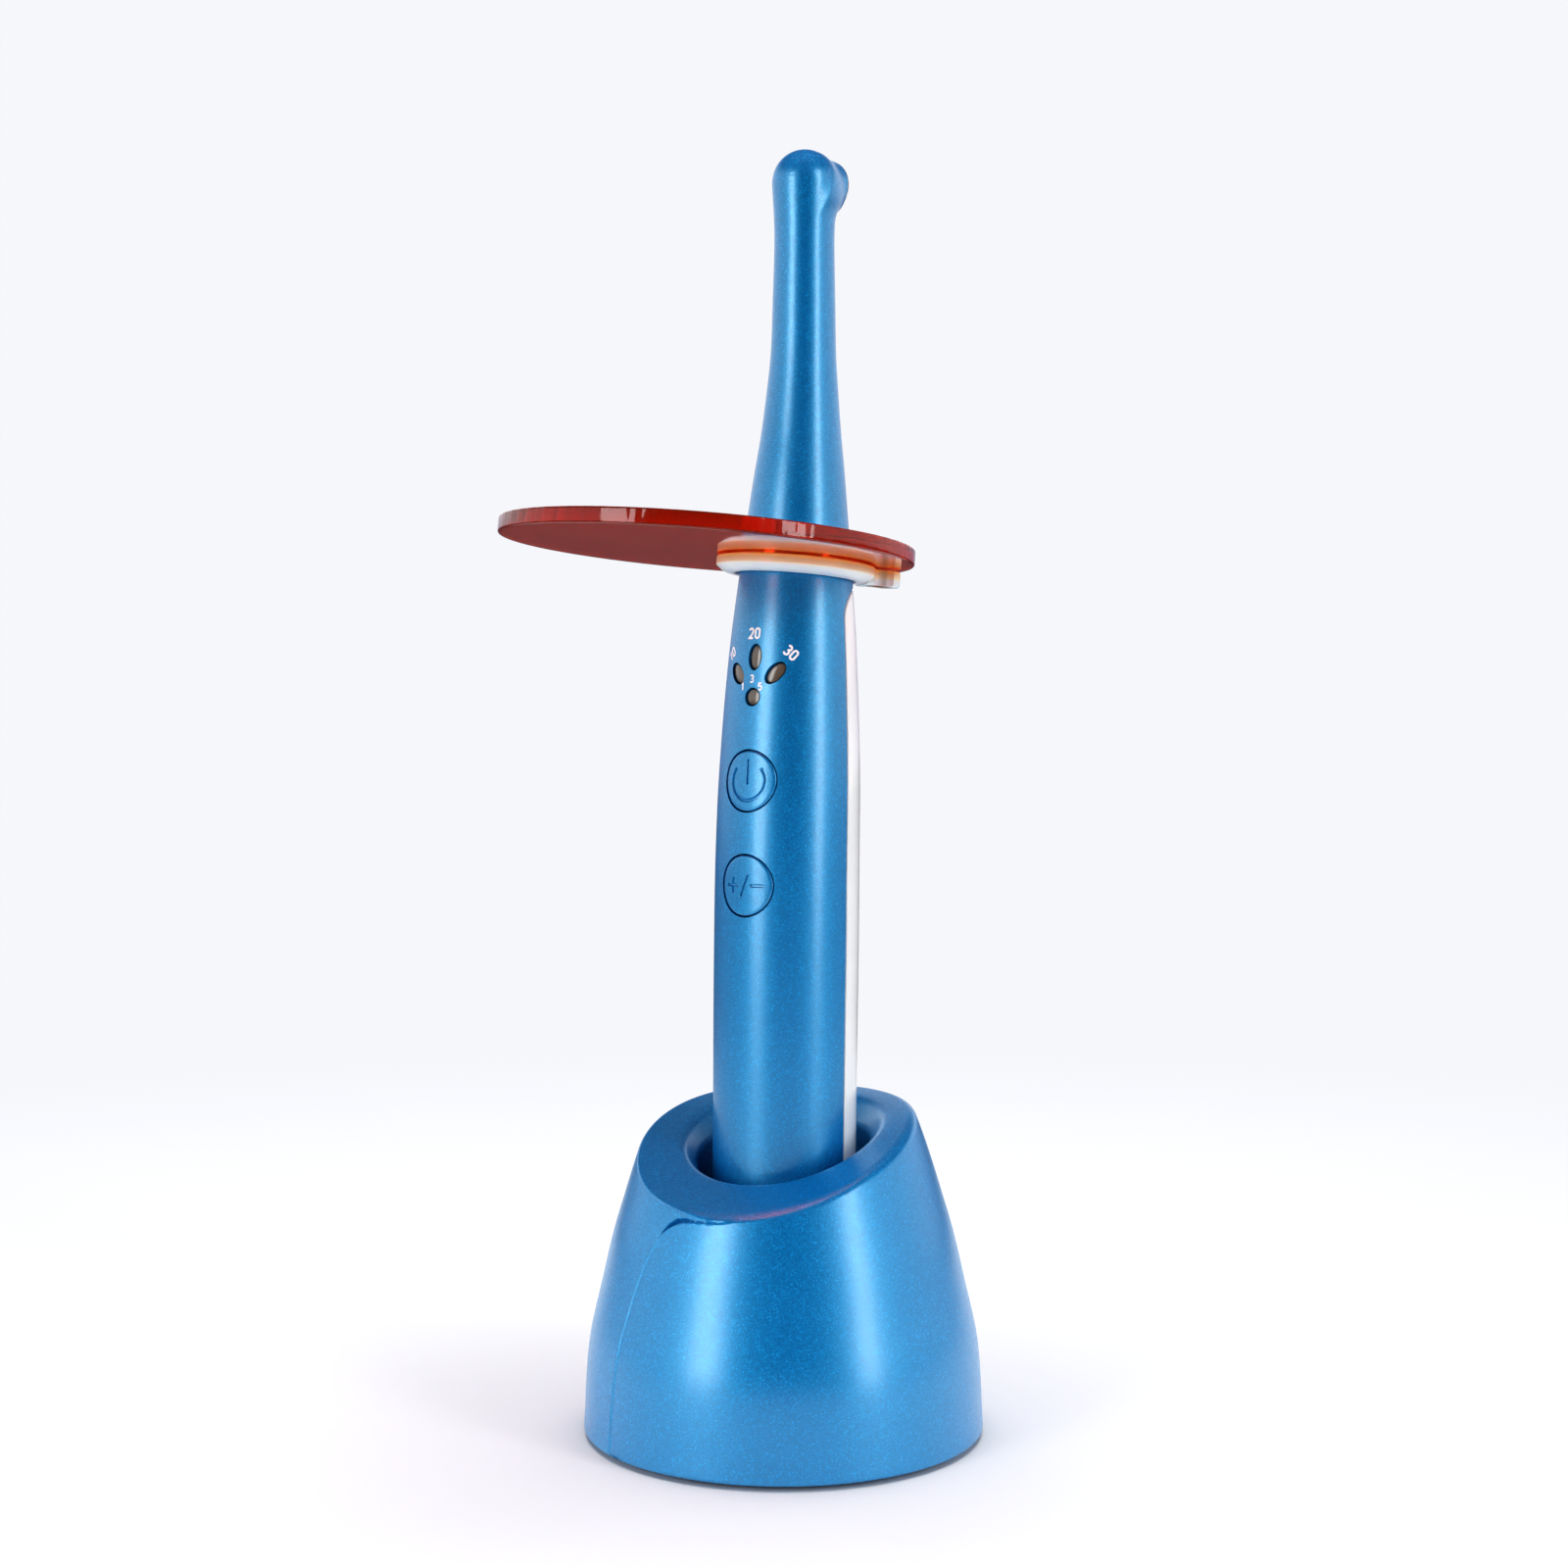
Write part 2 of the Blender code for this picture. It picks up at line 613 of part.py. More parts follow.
# ------------------------------------------------------------------- shield
ring = turned(
    "shield_ring",
    [(11.1, 4.6), (14.6, 4.6), (15.1, 4.2), (15.1, 3.4), (13.3, 3.4), (13.3, -0.3), (RING_R, -0.3),
     (RING_R, -1.9), (15.1, -2.6), (13.9, -3.1), (12.2, -3.4), (11.9, -3.4), (11.5, 0.0)],
    material("silicone", (0.85, 0.86, 0.84), 0.4), steps=30,
)
out = Vector((-DISC_CENTRE[0], -DISC_CENTRE[1], 0)).normalized()
heading = math.atan2(out.y, out.x)
bm = bmesh.new()
box("", (13.6, -4.2, -3.4), (LUG_REACH - 4.2, 4.2, -0.3), bm=bm)
lug = from_bmesh("lug", bm, cutter=True)
lug.rotation_euler = (0, 0, heading)
lug_end = cylinder("lug_end", 4.2, (LUG_REACH - 4.2, 0, -3.4), (LUG_REACH - 4.2, 0, -0.3),
                   cutter=True, sides=24)
lug_end.rotation_euler = (0, 0, heading)
notch = cylinder("lug_hole", 1.1, (17.6, 0, -8.0), (17.6, 0, 0.4), cutter=True, sides=12)
notch.rotation_euler = (0, 0, heading)
combine(ring, lug, "UNION")
combine(ring, lug_end, "UNION")
combine(ring, notch, "DIFFERENCE")
settle(ring)

disc = turned(
    "shield_disc",
    [(0.0, DISC_T), (DISC_R - 0.5, DISC_T), (DISC_R, DISC_T - 0.5), (DISC_R, 0.5),
     (DISC_R - 0.5, 0.0), (0.0, 0.0)],
    material("orange_acrylic", (0.85, 0.16, 0.02), 0.06, 0.0, 0.8), steps=48,
)
for vert in disc.data.vertices:
    vert.co.x += DISC_CENTRE[0] * MM
    vert.co.y += DISC_CENTRE[1] * MM
combine(disc, cylinder("disc_hole", DISC_HOLE_R, (0, 0, -2), (0, 0, 6), cutter=True, sides=32),
        "DIFFERENCE")
settle(disc)
on_shield(ring, disc, lug, lug_end, notch)

# --------------------------------------------------------------------- base
def top_z(r, angle, rim_r):
    """Height of the top face at a radius and an angle from -Y towards +X."""
    slope = math.tan(math.radians(TOP_SLOPE_DEG))
    saddle = TOP_SADDLE * (r / rim_r) ** 2 * math.cos(2 * (angle - math.radians(TOP_SADDLE_DEG)))
    return TOP_MID_Z - slope * r * math.cos(angle - math.radians(TOP_LOW_DEG)) - saddle


def rim_at(angle):
    """(radius, height) of the rim, where the top face meets the outer wall."""
    z = TOP_MID_Z
    for _ in range(60):
        z = (z + top_z(base_r(z), angle, base_r(z))) / 2
    return base_r(z), z


def base_section(angle):
    """Closed outline of the base shell at one angle, as (radius, height) points."""
    rim_r, rim_z = rim_at(angle)
    foot = BASE[0][0]
    face = rim_r - 0.7
    lip_r = WELL_R + WELL_LIP

    def top(r):
        return top_z(r, angle, rim_r)

    points = [(base_r(foot + u * (rim_z - foot)), foot + u * (rim_z - foot))
              for u in (0.0, 0.16, 0.34, 0.52, 0.70, 0.86)]
    points += [(base_r(rim_z - 0.7), rim_z - 0.7), (face, top(face)),
               ((face + lip_r) / 2, top((face + lip_r) / 2))]
    for a in (0, 30, 60, 90):
        r = lip_r - WELL_LIP * math.sin(math.radians(a))
        points.append((r, top(r) - WELL_LIP * (1 - math.cos(math.radians(a)))))
    points += [(WELL_R, WELL_END_Z), (WELL_TUBE_R, WELL_END_Z),
               (WELL_TUBE_R, top(WELL_TUBE_R) - 5.0), (21.5, top(21.5) - 2.7)]
    roof = rim_z - 3.6
    points += [(base_r(foot + u * (roof - foot)) - BASE_WALL, foot + u * (roof - foot))
               for u in (1.0, 0.75, 0.5, 0.3, 0.15, 0.0)]
    return points


def lofted_base(name, steps, mat):
    """Loft from the round foot to the sloping rim, down the well and back inside."""
    bm = bmesh.new()
    rows = []
    for k in range(steps):
        angle = 2 * math.pi * k / steps
        rows.append([
            bm.verts.new((r * math.sin(angle) * MM, -r * math.cos(angle) * MM, z * MM))
            for r, z in base_section(angle)
        ])
    for k in range(steps):
        here, there = rows[k], rows[(k + 1) % steps]
        for i in range(len(here)):
            j = (i + 1) % len(here)
            bm.faces.new((here[i], there[i], there[j], here[j]))
    return from_bmesh(name, bm, mat)


shell = lofted_base("base_shell", 40, material("blue_pearl_base", BLUE, 0.3, 0.4))
for k, angle in enumerate(BOSS_ANGLES):
    a = math.radians(angle)
    x, y = BOSS_AT_R * math.cos(a), BOSS_AT_R * math.sin(a)
    combine(shell, cylinder(f"boss_{k}", 3.1, (x, y, 4.9), (x, y, 22.0), cutter=True, sides=16),
            "UNION")
    combine(shell, cylinder(f"boss_bore_{k}", 1.5, (x, y, 3.0), (x, y, 13.5), cutter=True,
                            sides=12), "DIFFERENCE")
combine(shell, box("inlet_cut", (-5.1, 30.0, USB_Z - 2.2), (5.1, 45.0, USB_Z + 2.2), cutter=True),
        "DIFFERENCE")
settle(shell)

cup = turned(
    "cradle_cup",
    [(15.0, 25.6), (19.0, 25.6), (19.0, 23.8), (16.7, 23.8), (16.2, 5.6), (14.9, 5.6), (14.9, 10.0),
     (0.0, 10.0), (0.0, 12.1), (14.5, 12.1), (14.7, 14.0)],
    material("cup_plastic", (0.03, 0.035, 0.045), 0.5), steps=24,
)
for side in (-1, 1):
    combine(cup, cylinder(f"pin_bore_{side}", PIN_R + 0.35, (side * PIN_X, 0, 9.0),
                          (side * PIN_X, 0, 13.0), cutter=True, sides=12), "DIFFERENCE")
    settle(cup)

plate = turned("base_plate", [(0.0, 4.4), (36.1, 4.4), (36.1, 1.8), (0.0, 1.8)],
               material("plate_plastic", (0.04, 0.04, 0.045), 0.55), steps=36)
for k, angle in enumerate(BOSS_ANGLES):
    a = math.radians(angle)
    x, y = BOSS_AT_R * math.cos(a), BOSS_AT_R * math.sin(a)
    combine(plate, cylinder(f"plate_head_{k}", 2.75, (x, y, 1.0), (x, y, 3.2), cutter=True,
                            sides=16), "DIFFERENCE")
    combine(plate, cylinder(f"plate_bore_{k}", 1.5, (x, y, 2.0), (x, y, 6.0), cutter=True,
                            sides=12), "DIFFERENCE")
    settle(plate)
pad = turned("foot_pad", [(0.0, 1.5), (35.2, 1.5), (35.6, 1.2), (35.6, 0.3), (35.2, 0.0), (0.0, 0.0)],
             material("foot_rubber", (0.03, 0.03, 0.03), 0.8), steps=36)
weight = turned("base_weight", [(29.6, 12.0), (29.6, 4.8), (20.2, 4.8), (20.2, 12.0)],
                material("weight_steel", (0.5, 0.5, 0.5), 0.45, 1.0), steps=30)
combine(weight, box("weight_gap", (-11.5, 0.0, 3.0), (11.5, 40.0, 14.0), cutter=True), "DIFFERENCE")
settle(weight)

charge = box("charge_board", (-9.0, -9.0, 4.7), (9.0, 30.0, 5.3), material("base_board", (0.02, 0.2, 0.09), 0.4))
inlet = box("power_inlet", (-4.6, 26.5, USB_Z - 1.6), (4.6, 37.6, USB_Z + 1.6),
            material("inlet_steel", (0.6, 0.61, 0.63), 0.28, 1.0))
combine(inlet, box("inlet_mouth", (-4.1, 31.5, USB_Z - 1.2), (4.1, 40.0, USB_Z + 1.2), cutter=True),
        "DIFFERENCE")
settle(inlet)
combine(inlet, box("inlet_tongue", (-3.2, 31.0, USB_Z - 0.35), (3.2, 36.6, USB_Z + 0.35), cutter=True),
        "UNION")
settle(inlet)

brass = material("pin_gold", (0.83, 0.62, 0.25), 0.2, 1.0)
spring_steel = material("spring_steel", (0.7, 0.7, 0.7), 0.3, 1.0)
for side, name in ((-1, "left"), (1, "right")):
    pin = turned(
        f"contact_pin_{name}",
        [(0.0, PIN_TOP_Z), (0.5, PIN_TOP_Z), (PIN_R, PIN_TOP_Z - 0.4), (PIN_R, 9.7), (1.5, 9.7),
         (1.5, 9.0), (0.0, 9.0)],
        brass, steps=16,
    )
    pin.location.x = side * PIN_X * MM
    turns, per = 3, 8
    points = []
    for k in range(turns * per + 1):
        a = 2 * math.pi * k / per
        points.append((side * PIN_X + 1.1 * math.cos(a), 1.1 * math.sin(a),
                       5.85 + (8.45 - 5.85) * k / (turns * per)))
    wire(f"pin_spring_{name}", points, 0.2, spring_steel, sides=0)

screw_steel = material("base_screw_steel", (0.55, 0.55, 0.56), 0.3, 1.0)
for k, angle in enumerate(BOSS_ANGLES):
    a = math.radians(angle)
    screw(f"base_screw_{k + 1}", BOSS_AT_R * math.cos(a), BOSS_AT_R * math.sin(a),
          [(0.0, 12.5), (1.15, 12.2), (1.15, 2.9), (2.4, 2.9), (2.4, 2.0), (0.0, 2.0)],
          screw_steel)

bpy.context.view_layer.update()
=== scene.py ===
"""Looks of the cordless curing light in its charging base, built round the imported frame.

Lengths below are in millimetres unless a line says otherwise; the scene is in metres.
"""

import json
import math

import bmesh
import bpy
import numpy as np
from mathutils import Matrix, Vector

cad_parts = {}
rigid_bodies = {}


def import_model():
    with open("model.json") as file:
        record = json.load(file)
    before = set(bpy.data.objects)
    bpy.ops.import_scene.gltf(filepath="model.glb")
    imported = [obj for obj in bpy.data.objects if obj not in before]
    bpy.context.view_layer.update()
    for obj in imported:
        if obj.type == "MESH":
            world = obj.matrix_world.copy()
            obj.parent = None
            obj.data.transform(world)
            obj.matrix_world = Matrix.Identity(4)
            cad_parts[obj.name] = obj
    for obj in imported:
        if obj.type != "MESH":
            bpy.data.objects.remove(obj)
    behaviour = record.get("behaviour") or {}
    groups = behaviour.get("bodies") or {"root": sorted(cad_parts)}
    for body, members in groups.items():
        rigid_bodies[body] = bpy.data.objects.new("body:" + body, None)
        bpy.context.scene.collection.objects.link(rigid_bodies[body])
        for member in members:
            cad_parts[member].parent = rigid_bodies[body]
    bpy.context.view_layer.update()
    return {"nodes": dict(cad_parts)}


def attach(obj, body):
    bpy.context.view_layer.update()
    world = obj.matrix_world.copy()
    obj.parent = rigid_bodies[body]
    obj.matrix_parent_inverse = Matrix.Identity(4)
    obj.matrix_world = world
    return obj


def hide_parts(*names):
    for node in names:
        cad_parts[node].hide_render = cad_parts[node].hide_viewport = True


MM = 0.001
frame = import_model()
nodes = frame["nodes"]

# ------------------------------------------------------------ shared numbers
TAIL_Z = 12.5
SHELL_START_Z = 18.3
WALL = 1.6
NECK_WALL = 1.5
HANDLE = [
    (16.0, 13.3), (24.0, 13.75), (40.0, 14.0), (66.0, 14.08), (98.0, 14.2),
    (122.0, 14.0), (134.0, 13.6), (145.0, 13.0), (155.0, 12.3), (164.0, 11.44),
    (173.0, 10.5), (181.5, 9.6), (188.0, 8.85), (195.0, 7.95), (203.0, 7.15),
    (211.0, 6.5), (222.0, 6.2), (233.5, 5.96), (238.5, 6.12), (244.9, 6.5),
    (250.0, 6.5),
]
BEND = [
    (12.0, -0.25), (66.0, -0.2), (98.0, 0.0), (110.0, 0.1), (122.0, 0.43),
    (133.5, 0.85), (145.0, 1.25), (160.0, 1.95), (181.5, 3.0), (195.0, 3.8),
    (210.0, 4.35), (222.0, 4.45), (252.0, 4.45),
]
LEAN_DEG = 0.4
LEAN_TO = (0.8141, 0.5807)
KNOB_Z, KNOB_R, KNOB_Y = 244.9, 6.5, 4.45
NOZZLE_Z, NOZZLE_R, NOZZLE_END_Y = 245.6, 5.2, 12.0
REAR_TOP_Z = 164.4
PARTING_GAP = 0.3
BUTTON_R, BUTTON_GAP = 5.8, 0.3
POWER_BUTTON_Z, MODE_BUTTON_Z = 126.8, 106.8
SWITCH_TOP_Y, BUTTON_TRAVEL = -9.2, 0.5
WINDOWS = [
    (0.0, 150.6, 1.25, 2.3, 0.0),
    (-4.4, 147.5, 1.25, 2.2, 40.0),
    (4.4, 147.5, 1.25, 2.2, -40.0),
    (0.0, 142.9, 1.5, 1.5, 0.0),
]
SHIELD_AT = (0.90, 3.0, 170.0)
SHIELD_AXIS = (0.0549, 0.0595, 1.0)
DISC_R, DISC_T = 40.6, 3.1
DISC_CENTRE = (-11.42, -14.2)
DISC_HOLE_R = 13.6
RING_R = 15.65
LUG_REACH = 21.6
BASE = [
    (1.0, 39.0), (5.0, 38.8), (10.0, 38.6), (15.0, 38.3), (20.0, 37.7), (25.0, 36.5),
    (30.0, 35.3), (35.0, 34.2), (40.0, 33.0), (45.0, 31.4), (50.0, 29.9), (55.0, 28.3),
    (60.0, 26.5), (65.0, 24.5), (72.0, 21.8),
]
BASE_WALL = 2.2
TOP_MID_Z, TOP_SLOPE_DEG, TOP_LOW_DEG = 57.9, 17.0, 10.0
TOP_SADDLE, TOP_SADDLE_DEG = 1.72, 11.9
WELL_R, WELL_TUBE_R, WELL_END_Z = 16.8, 19.0, 26.0
PIN_X, PIN_R = 4.0, 0.9
USB_Z = 7.2


# ------------------------------------------------------------- number tables
def table(points, at):
    if at <= points[0][0]:
        return points[0][1]
    if at >= points[-1][0]:
        return points[-1][1]
    for i in range(len(points) - 1):
        z0, v0 = points[i]
        z1, v1 = points[i + 1]
        if z0 <= at <= z1:
            before = points[i - 1] if i else points[0]
            after = points[i + 2] if i + 2 < len(points) else points[-1]
            m0 = (v1 - before[1]) / (z1 - before[0]) * (z1 - z0)
            m1 = (after[1] - v0) / (after[0] - z0) * (z1 - z0)
            t = (at - z0) / (z1 - z0)
            return (
                (2 * t**3 - 3 * t**2 + 1) * v0 + (t**3 - 2 * t**2 + t) * m0
                + (3 * t**2 - 2 * t**3) * v1 + (t**3 - t**2) * m1
            )
    return points[-1][1]


GRID_Z = np.arange(0.0, 256.0, 0.05)
GRID_R = np.array([table(HANDLE, z) for z in GRID_Z])
GRID_B = np.array([table(BEND, z) for z in GRID_Z])
GRID_BASE = np.array([table(BASE, z) for z in GRID_Z])
# the side of the base is one long fair curve
fair = np.exp(-(np.arange(-240, 241) * 0.05 / 4.0) ** 2)
fair = np.convolve(np.pad(GRID_BASE, 240, "edge"), fair / fair.sum(), "valid")
blend = np.clip((GRID_Z - 5.0) / 6.0, 0, 1) * np.clip((68.0 - GRID_Z) / 6.0, 0, 1)
GRID_BASE = GRID_BASE * (1 - blend) + np.minimum(fair, 39.0) * blend
GRID_DR = np.gradient(GRID_R, GRID_Z)
GRID_DB = np.gradient(GRID_B, GRID_Z)


def handle_r(z):
    return np.interp(z, GRID_Z, GRID_R)


def bend(z):
    return np.interp(z, GRID_Z, GRID_B)


def base_r(z):
    return np.interp(z, GRID_Z, GRID_BASE)


def smooth(a, b, x):
    t = np.clip((np.asarray(x, float) - a) / (b - a), 0, 1)
    return t * t * (3 - 2 * t)


def steps_between(a, b, most):
    """Even points from a to b, no further apart than most, without the last one."""
    n = max(1, int(math.ceil(abs(b - a) / most)))
    return [a + (b - a) * i / n for i in range(n)]


# ------------------------------------------------------------- mesh building
scratch = bpy.data.collections.new("scratch")
bpy.context.scene.collection.children.link(scratch)

HAND = (
    Matrix.Translation((0, 0, TAIL_Z * MM))
    @ Matrix.Rotation(math.radians(LEAN_DEG), 4, Vector((-LEAN_TO[1], LEAN_TO[0], 0.0)))
    @ Matrix.Translation((0, 0, -TAIL_Z * MM))
)
SHIELD = Matrix.Translation(Vector(SHIELD_AT) * MM) @ (
    Vector((0, 0, 1)).rotation_difference(Vector(SHIELD_AXIS).normalized()).to_matrix().to_4x4()
)


def mesh_from(name, verts, faces, turn_normals=True):
    mesh = bpy.data.meshes.new(name)
    mesh.from_pydata((np.asarray(verts, float) * MM).tolist(), [], [tuple(map(int, f)) for f in faces])
    if turn_normals:
        bm = bmesh.new()
        bm.from_mesh(mesh)
        bmesh.ops.remove_doubles(bm, verts=bm.verts, dist=0.0000004)
        bmesh.ops.recalc_face_normals(bm, faces=bm.faces)
        bm.to_mesh(mesh)
        bm.free()
    return mesh


def link(name, mesh):
    obj = bpy.data.objects.new(name, mesh)
    bpy.context.scene.collection.objects.link(obj)
    return obj


def evaluated(obj):
    bpy.context.view_layer.update()
    graph = bpy.context.evaluated_depsgraph_get()
    return bpy.data.meshes.new_from_object(obj.evaluated_get(graph), depsgraph=graph)


def boolean(obj, other_meshes, operation="DIFFERENCE"):
    """Applies one Boolean with closed meshes that don't touch each other."""
    bm = bmesh.new()
    for mesh in other_meshes:
        bm.from_mesh(mesh)
    joined = bpy.data.meshes.new("cutter")
    bm.to_mesh(joined)
    bm.free()
    other = bpy.data.objects.new("cutter", joined)
    scratch.objects.link(other)
    mod = obj.modifiers.new("cut", "BOOLEAN")
    mod.operation = operation
    mod.solver = "EXACT"
    mod.object = other
    mesh = evaluated(obj)
    obj.modifiers.clear()
    old = obj.data
    obj.data = mesh
    bpy.data.meshes.remove(old)
    bpy.data.objects.remove(other, do_unlink=True)
    return obj


def tidy(mesh, sharp=35.0):
    mesh.shade_smooth()
    mesh.set_sharp_from_angle(angle=math.radians(sharp))


def place(obj, body, mat, replaces=(), at=None, sharp=35.0, normals=None):
    """Finishes a piece: shading, its place in the frame, its material and its body."""
    mesh = obj.data
    mesh.materials.clear()
    mesh.materials.append(mat)
    tidy(mesh, sharp)
    custom = normals(mesh) if normals else None
    if at is not None:
        mesh.transform(at)
    if custom is not None:
        turn = np.array(at.to_3x3()) if at is not None else np.eye(3)
        mesh.normals_split_custom_set((custom @ turn.T).tolist())
    mesh.update()
    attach(obj, body)
    if replaces:
        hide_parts(*replaces)
    return obj


def grid_faces(rows, cols, base=0, wrap=False):
    """Quads of a grid whose vertices are stored row by row."""
    out = []
    last = cols if wrap else cols - 1
    for i in range(rows - 1):
        for j in range(last):
            k = (j + 1) % cols
            out.append((base + i * cols + j, base + i * cols + k,
                        base + (i + 1) * cols + k, base + (i + 1) * cols + j))
    return out


def rounded(points, radius, n=4, closed=True):
    """Outline with each corner that has a radius rounded off. radius is one number or a list."""
    count = len(points)
    radii = [radius] * count if isinstance(radius, (int, float)) else radius
    out = []
    for i, p in enumerate(points):
        p = np.array(p, float)
        r = radii[i]
        if r <= 0 or (not closed and i in (0, count - 1)):
            out.append(tuple(p))
            continue
        a = np.array(points[i - 1], float) - p
        b = np.array(points[(i + 1) % count], float) - p
        la, lb = np.linalg.norm(a), np.linalg.norm(b)
        cut = min(r, la * 0.49, lb * 0.49)
        s, e = p + a / la * cut, p + b / lb * cut
        for k in range(n + 1):
            t = k / n
            out.append(tuple((1 - t) ** 2 * s + 2 * t * (1 - t) * p + t**2 * e))
    return out


def turned_mesh(name, outline, steps=96, shift=None):
    """Closed turned mesh from a (radius, height) outline; points on the axis close it."""
    verts, faces, rows = [], [], []
    for r, z in outline:
        dy = 0.0 if shift is None else float(shift(z))
        if r < 1e-6:
            rows.append([len(verts)])
            verts.append((0.0, dy, z))
        else:
            rows.append(list(range(len(verts), len(verts) + steps)))
            for k in range(steps):
                a = 2 * math.pi * k / steps
                verts.append((r * math.sin(a), dy - r * math.cos(a), z))
    pairs = list(zip(rows, rows[1:]))
    if len(rows[0]) > 1 or len(rows[-1]) > 1:
        pairs.append((rows[-1], rows[0]))
    for a, b in pairs:
        for k in range(steps):
            m = (k + 1) % steps
            if len(a) > 1 and len(b) > 1:
                faces.append((a[k], a[m], b[m], b[k]))
            elif len(a) > 1:
                faces.append((a[k], a[m], b[0]))
            elif len(b) > 1:
                faces.append((a[0], b[m], b[k]))
    return mesh_from(name, verts, faces)


def extruded_mesh(name, outline, y0, y1):
    """Prism of an (x, z) outline between two depths along Y."""
    n = len(outline)
    verts = [(x, y0, z) for x, z in outline] + [(x, y1, z) for x, z in outline]
    faces = [tuple(range(n)), tuple(range(2 * n - 1, n - 1, -1))]
    faces += [(i, (i + 1) % n, n + (i + 1) % n, n + i) for i in range(n)]
    return mesh_from(name, verts, faces)


def ellipse(x, z, a, b, tilt, n=64):
    t = math.radians(tilt)
    out = []
    for k in range(n):
        u = 2 * math.pi * k / n
        p, q = a * math.cos(u), b * math.sin(u)
        out.append((x + p * math.cos(t) - q * math.sin(t), z + p * math.sin(t) + q * math.cos(t)))
    return out


def box_mesh(name, low, high):
    bm = bmesh.new()
    low, high = Vector(low), Vector(high)
    size = (high - low) * MM
    bmesh.ops.create_cube(
        bm, size=1.0,
        matrix=Matrix.Translation((low + high) / 2 * MM) @ Matrix.Diagonal((*size, 1.0)),
    )
    mesh = bpy.data.meshes.new(name)
    bm.to_mesh(mesh)
    bm.free()
    return mesh


def joined(name, meshes):
    bm = bmesh.new()
    for mesh in meshes:
        bm.from_mesh(mesh)
    out = bpy.data.meshes.new(name)
    bm.to_mesh(out)
    bm.free()
    return out


# ----------------------------------------------------------------- materials
def new_material(name):
    mat = bpy.data.materials.new(name)
    mat.use_nodes = True
    tree = mat.node_tree
    return mat, tree, tree.nodes["Principled BSDF"]


def node(tree, kind, **inputs):
    made = tree.nodes.new(kind)
    for key, value in inputs.items():
        if hasattr(made, key) and key not in made.inputs:
            setattr(made, key, value)
        else:
            made.inputs[key].default_value = value
    return made


def coords(tree):
    return tree.nodes.new("ShaderNodeTexCoord").outputs["Object"]


def noise(tree, at, scale, detail=3.0, rough=0.5):
    made = node(tree, "ShaderNodeTexNoise")
    made.inputs["Scale"].default_value = scale
    made.inputs["Detail"].default_value = detail
    made.inputs["Roughness"].default_value = rough
    tree.links.new(at, made.inputs["Vector"])
    return made.outputs["Fac"]


def cells(tree, at, scale):
    made = node(tree, "ShaderNodeTexVoronoi")
    made.inputs["Scale"].default_value = scale
    tree.links.new(at, made.inputs["Vector"])
    return made


def ramp(tree, fac, stops):
    made = tree.nodes.new("ShaderNodeValToRGB")
    marks = made.color_ramp.elements
    while len(marks) < len(stops):
        marks.new(0.5)
    for mark, (position, colour) in zip(marks, stops):
        mark.position = position
        mark.color = (*colour, 1.0)
    tree.links.new(fac, made.inputs["Fac"])
    return made.outputs["Color"]


def span(tree, fac, a, b, low, high):
    made = tree.nodes.new("ShaderNodeMapRange")
    for key, value in (("From Min", a), ("From Max", b), ("To Min", low), ("To Max", high)):
        made.inputs[key].default_value = value
    tree.links.new(fac, made.inputs["Value"])
    return made.outputs["Result"]


def mix(tree, fac, a, b, blend="MIX"):
    made = tree.nodes.new("ShaderNodeMix")
    made.data_type = "RGBA"
    made.blend_type = blend
    for value, socket in ((fac, made.inputs[0]), (a, made.inputs[6]), (b, made.inputs[7])):
        if isinstance(value, (int, float)):
            socket.default_value = value
        elif isinstance(value, tuple):
            socket.default_value = (*value, 1.0)
        else:
            tree.links.new(value, socket)
    return made.outputs[2]


def bump(tree, shader, height, strength, distance):
    made = tree.nodes.new("ShaderNodeBump")
    made.inputs["Strength"].default_value = strength
    made.inputs["Distance"].default_value = distance
    tree.links.new(height, made.inputs["Height"])
    tree.links.new(made.outputs["Normal"], shader.inputs["Normal"])


def set_shader(shader, **values):
    for key, value in values.items():
        socket = shader.inputs[key.replace("_", " ")]
        socket.default_value = (*value, 1.0) if isinstance(value, tuple) and len(value) == 3 and socket.type == "RGBA" else value


def blue_pearl(name, deep=(0.0, 0.085, 0.28), mid=(0.0, 0.145, 0.41), light=(0.006, 0.32, 0.72)):
    """Satin pearl lacquer: fine flakes of differing brightness in a blue ground."""
    mat, tree, shader = new_material(name)
    at = coords(tree)
    flakes = cells(tree, at, 5200.0)
    grain = cells(tree, at, 9000.0)
    tone = node(tree, "ShaderNodeSeparateColor")
    tree.links.new(flakes.outputs["Color"], tone.inputs[0])
    colour = ramp(tree, tone.outputs[0], [(0.0, deep), (0.45, mid), (0.80, mid), (1.0, light)])
    drift = noise(tree, at, 60.0, 2.0)
    colour = mix(tree, span(tree, drift, 0.3, 0.7, 0.0, 0.18), colour, deep)
    tree.links.new(colour, shader.inputs["Base Color"])
    tree.links.new(span(tree, noise(tree, at, 900.0, 2.0), 0.3, 0.7, 0.38, 0.48), shader.inputs["Roughness"])
    set_shader(shader, Metallic=0.12, IOR=2.0, Specular_IOR_Level=1.0, Specular_Tint=(0.03, 0.62, 0.95), Coat_Weight=0.75,
               Coat_IOR=1.72, Coat_Roughness=0.27)
    bump(tree, shader, grain.outputs["Distance"], 0.08, 0.00004)
    return mat


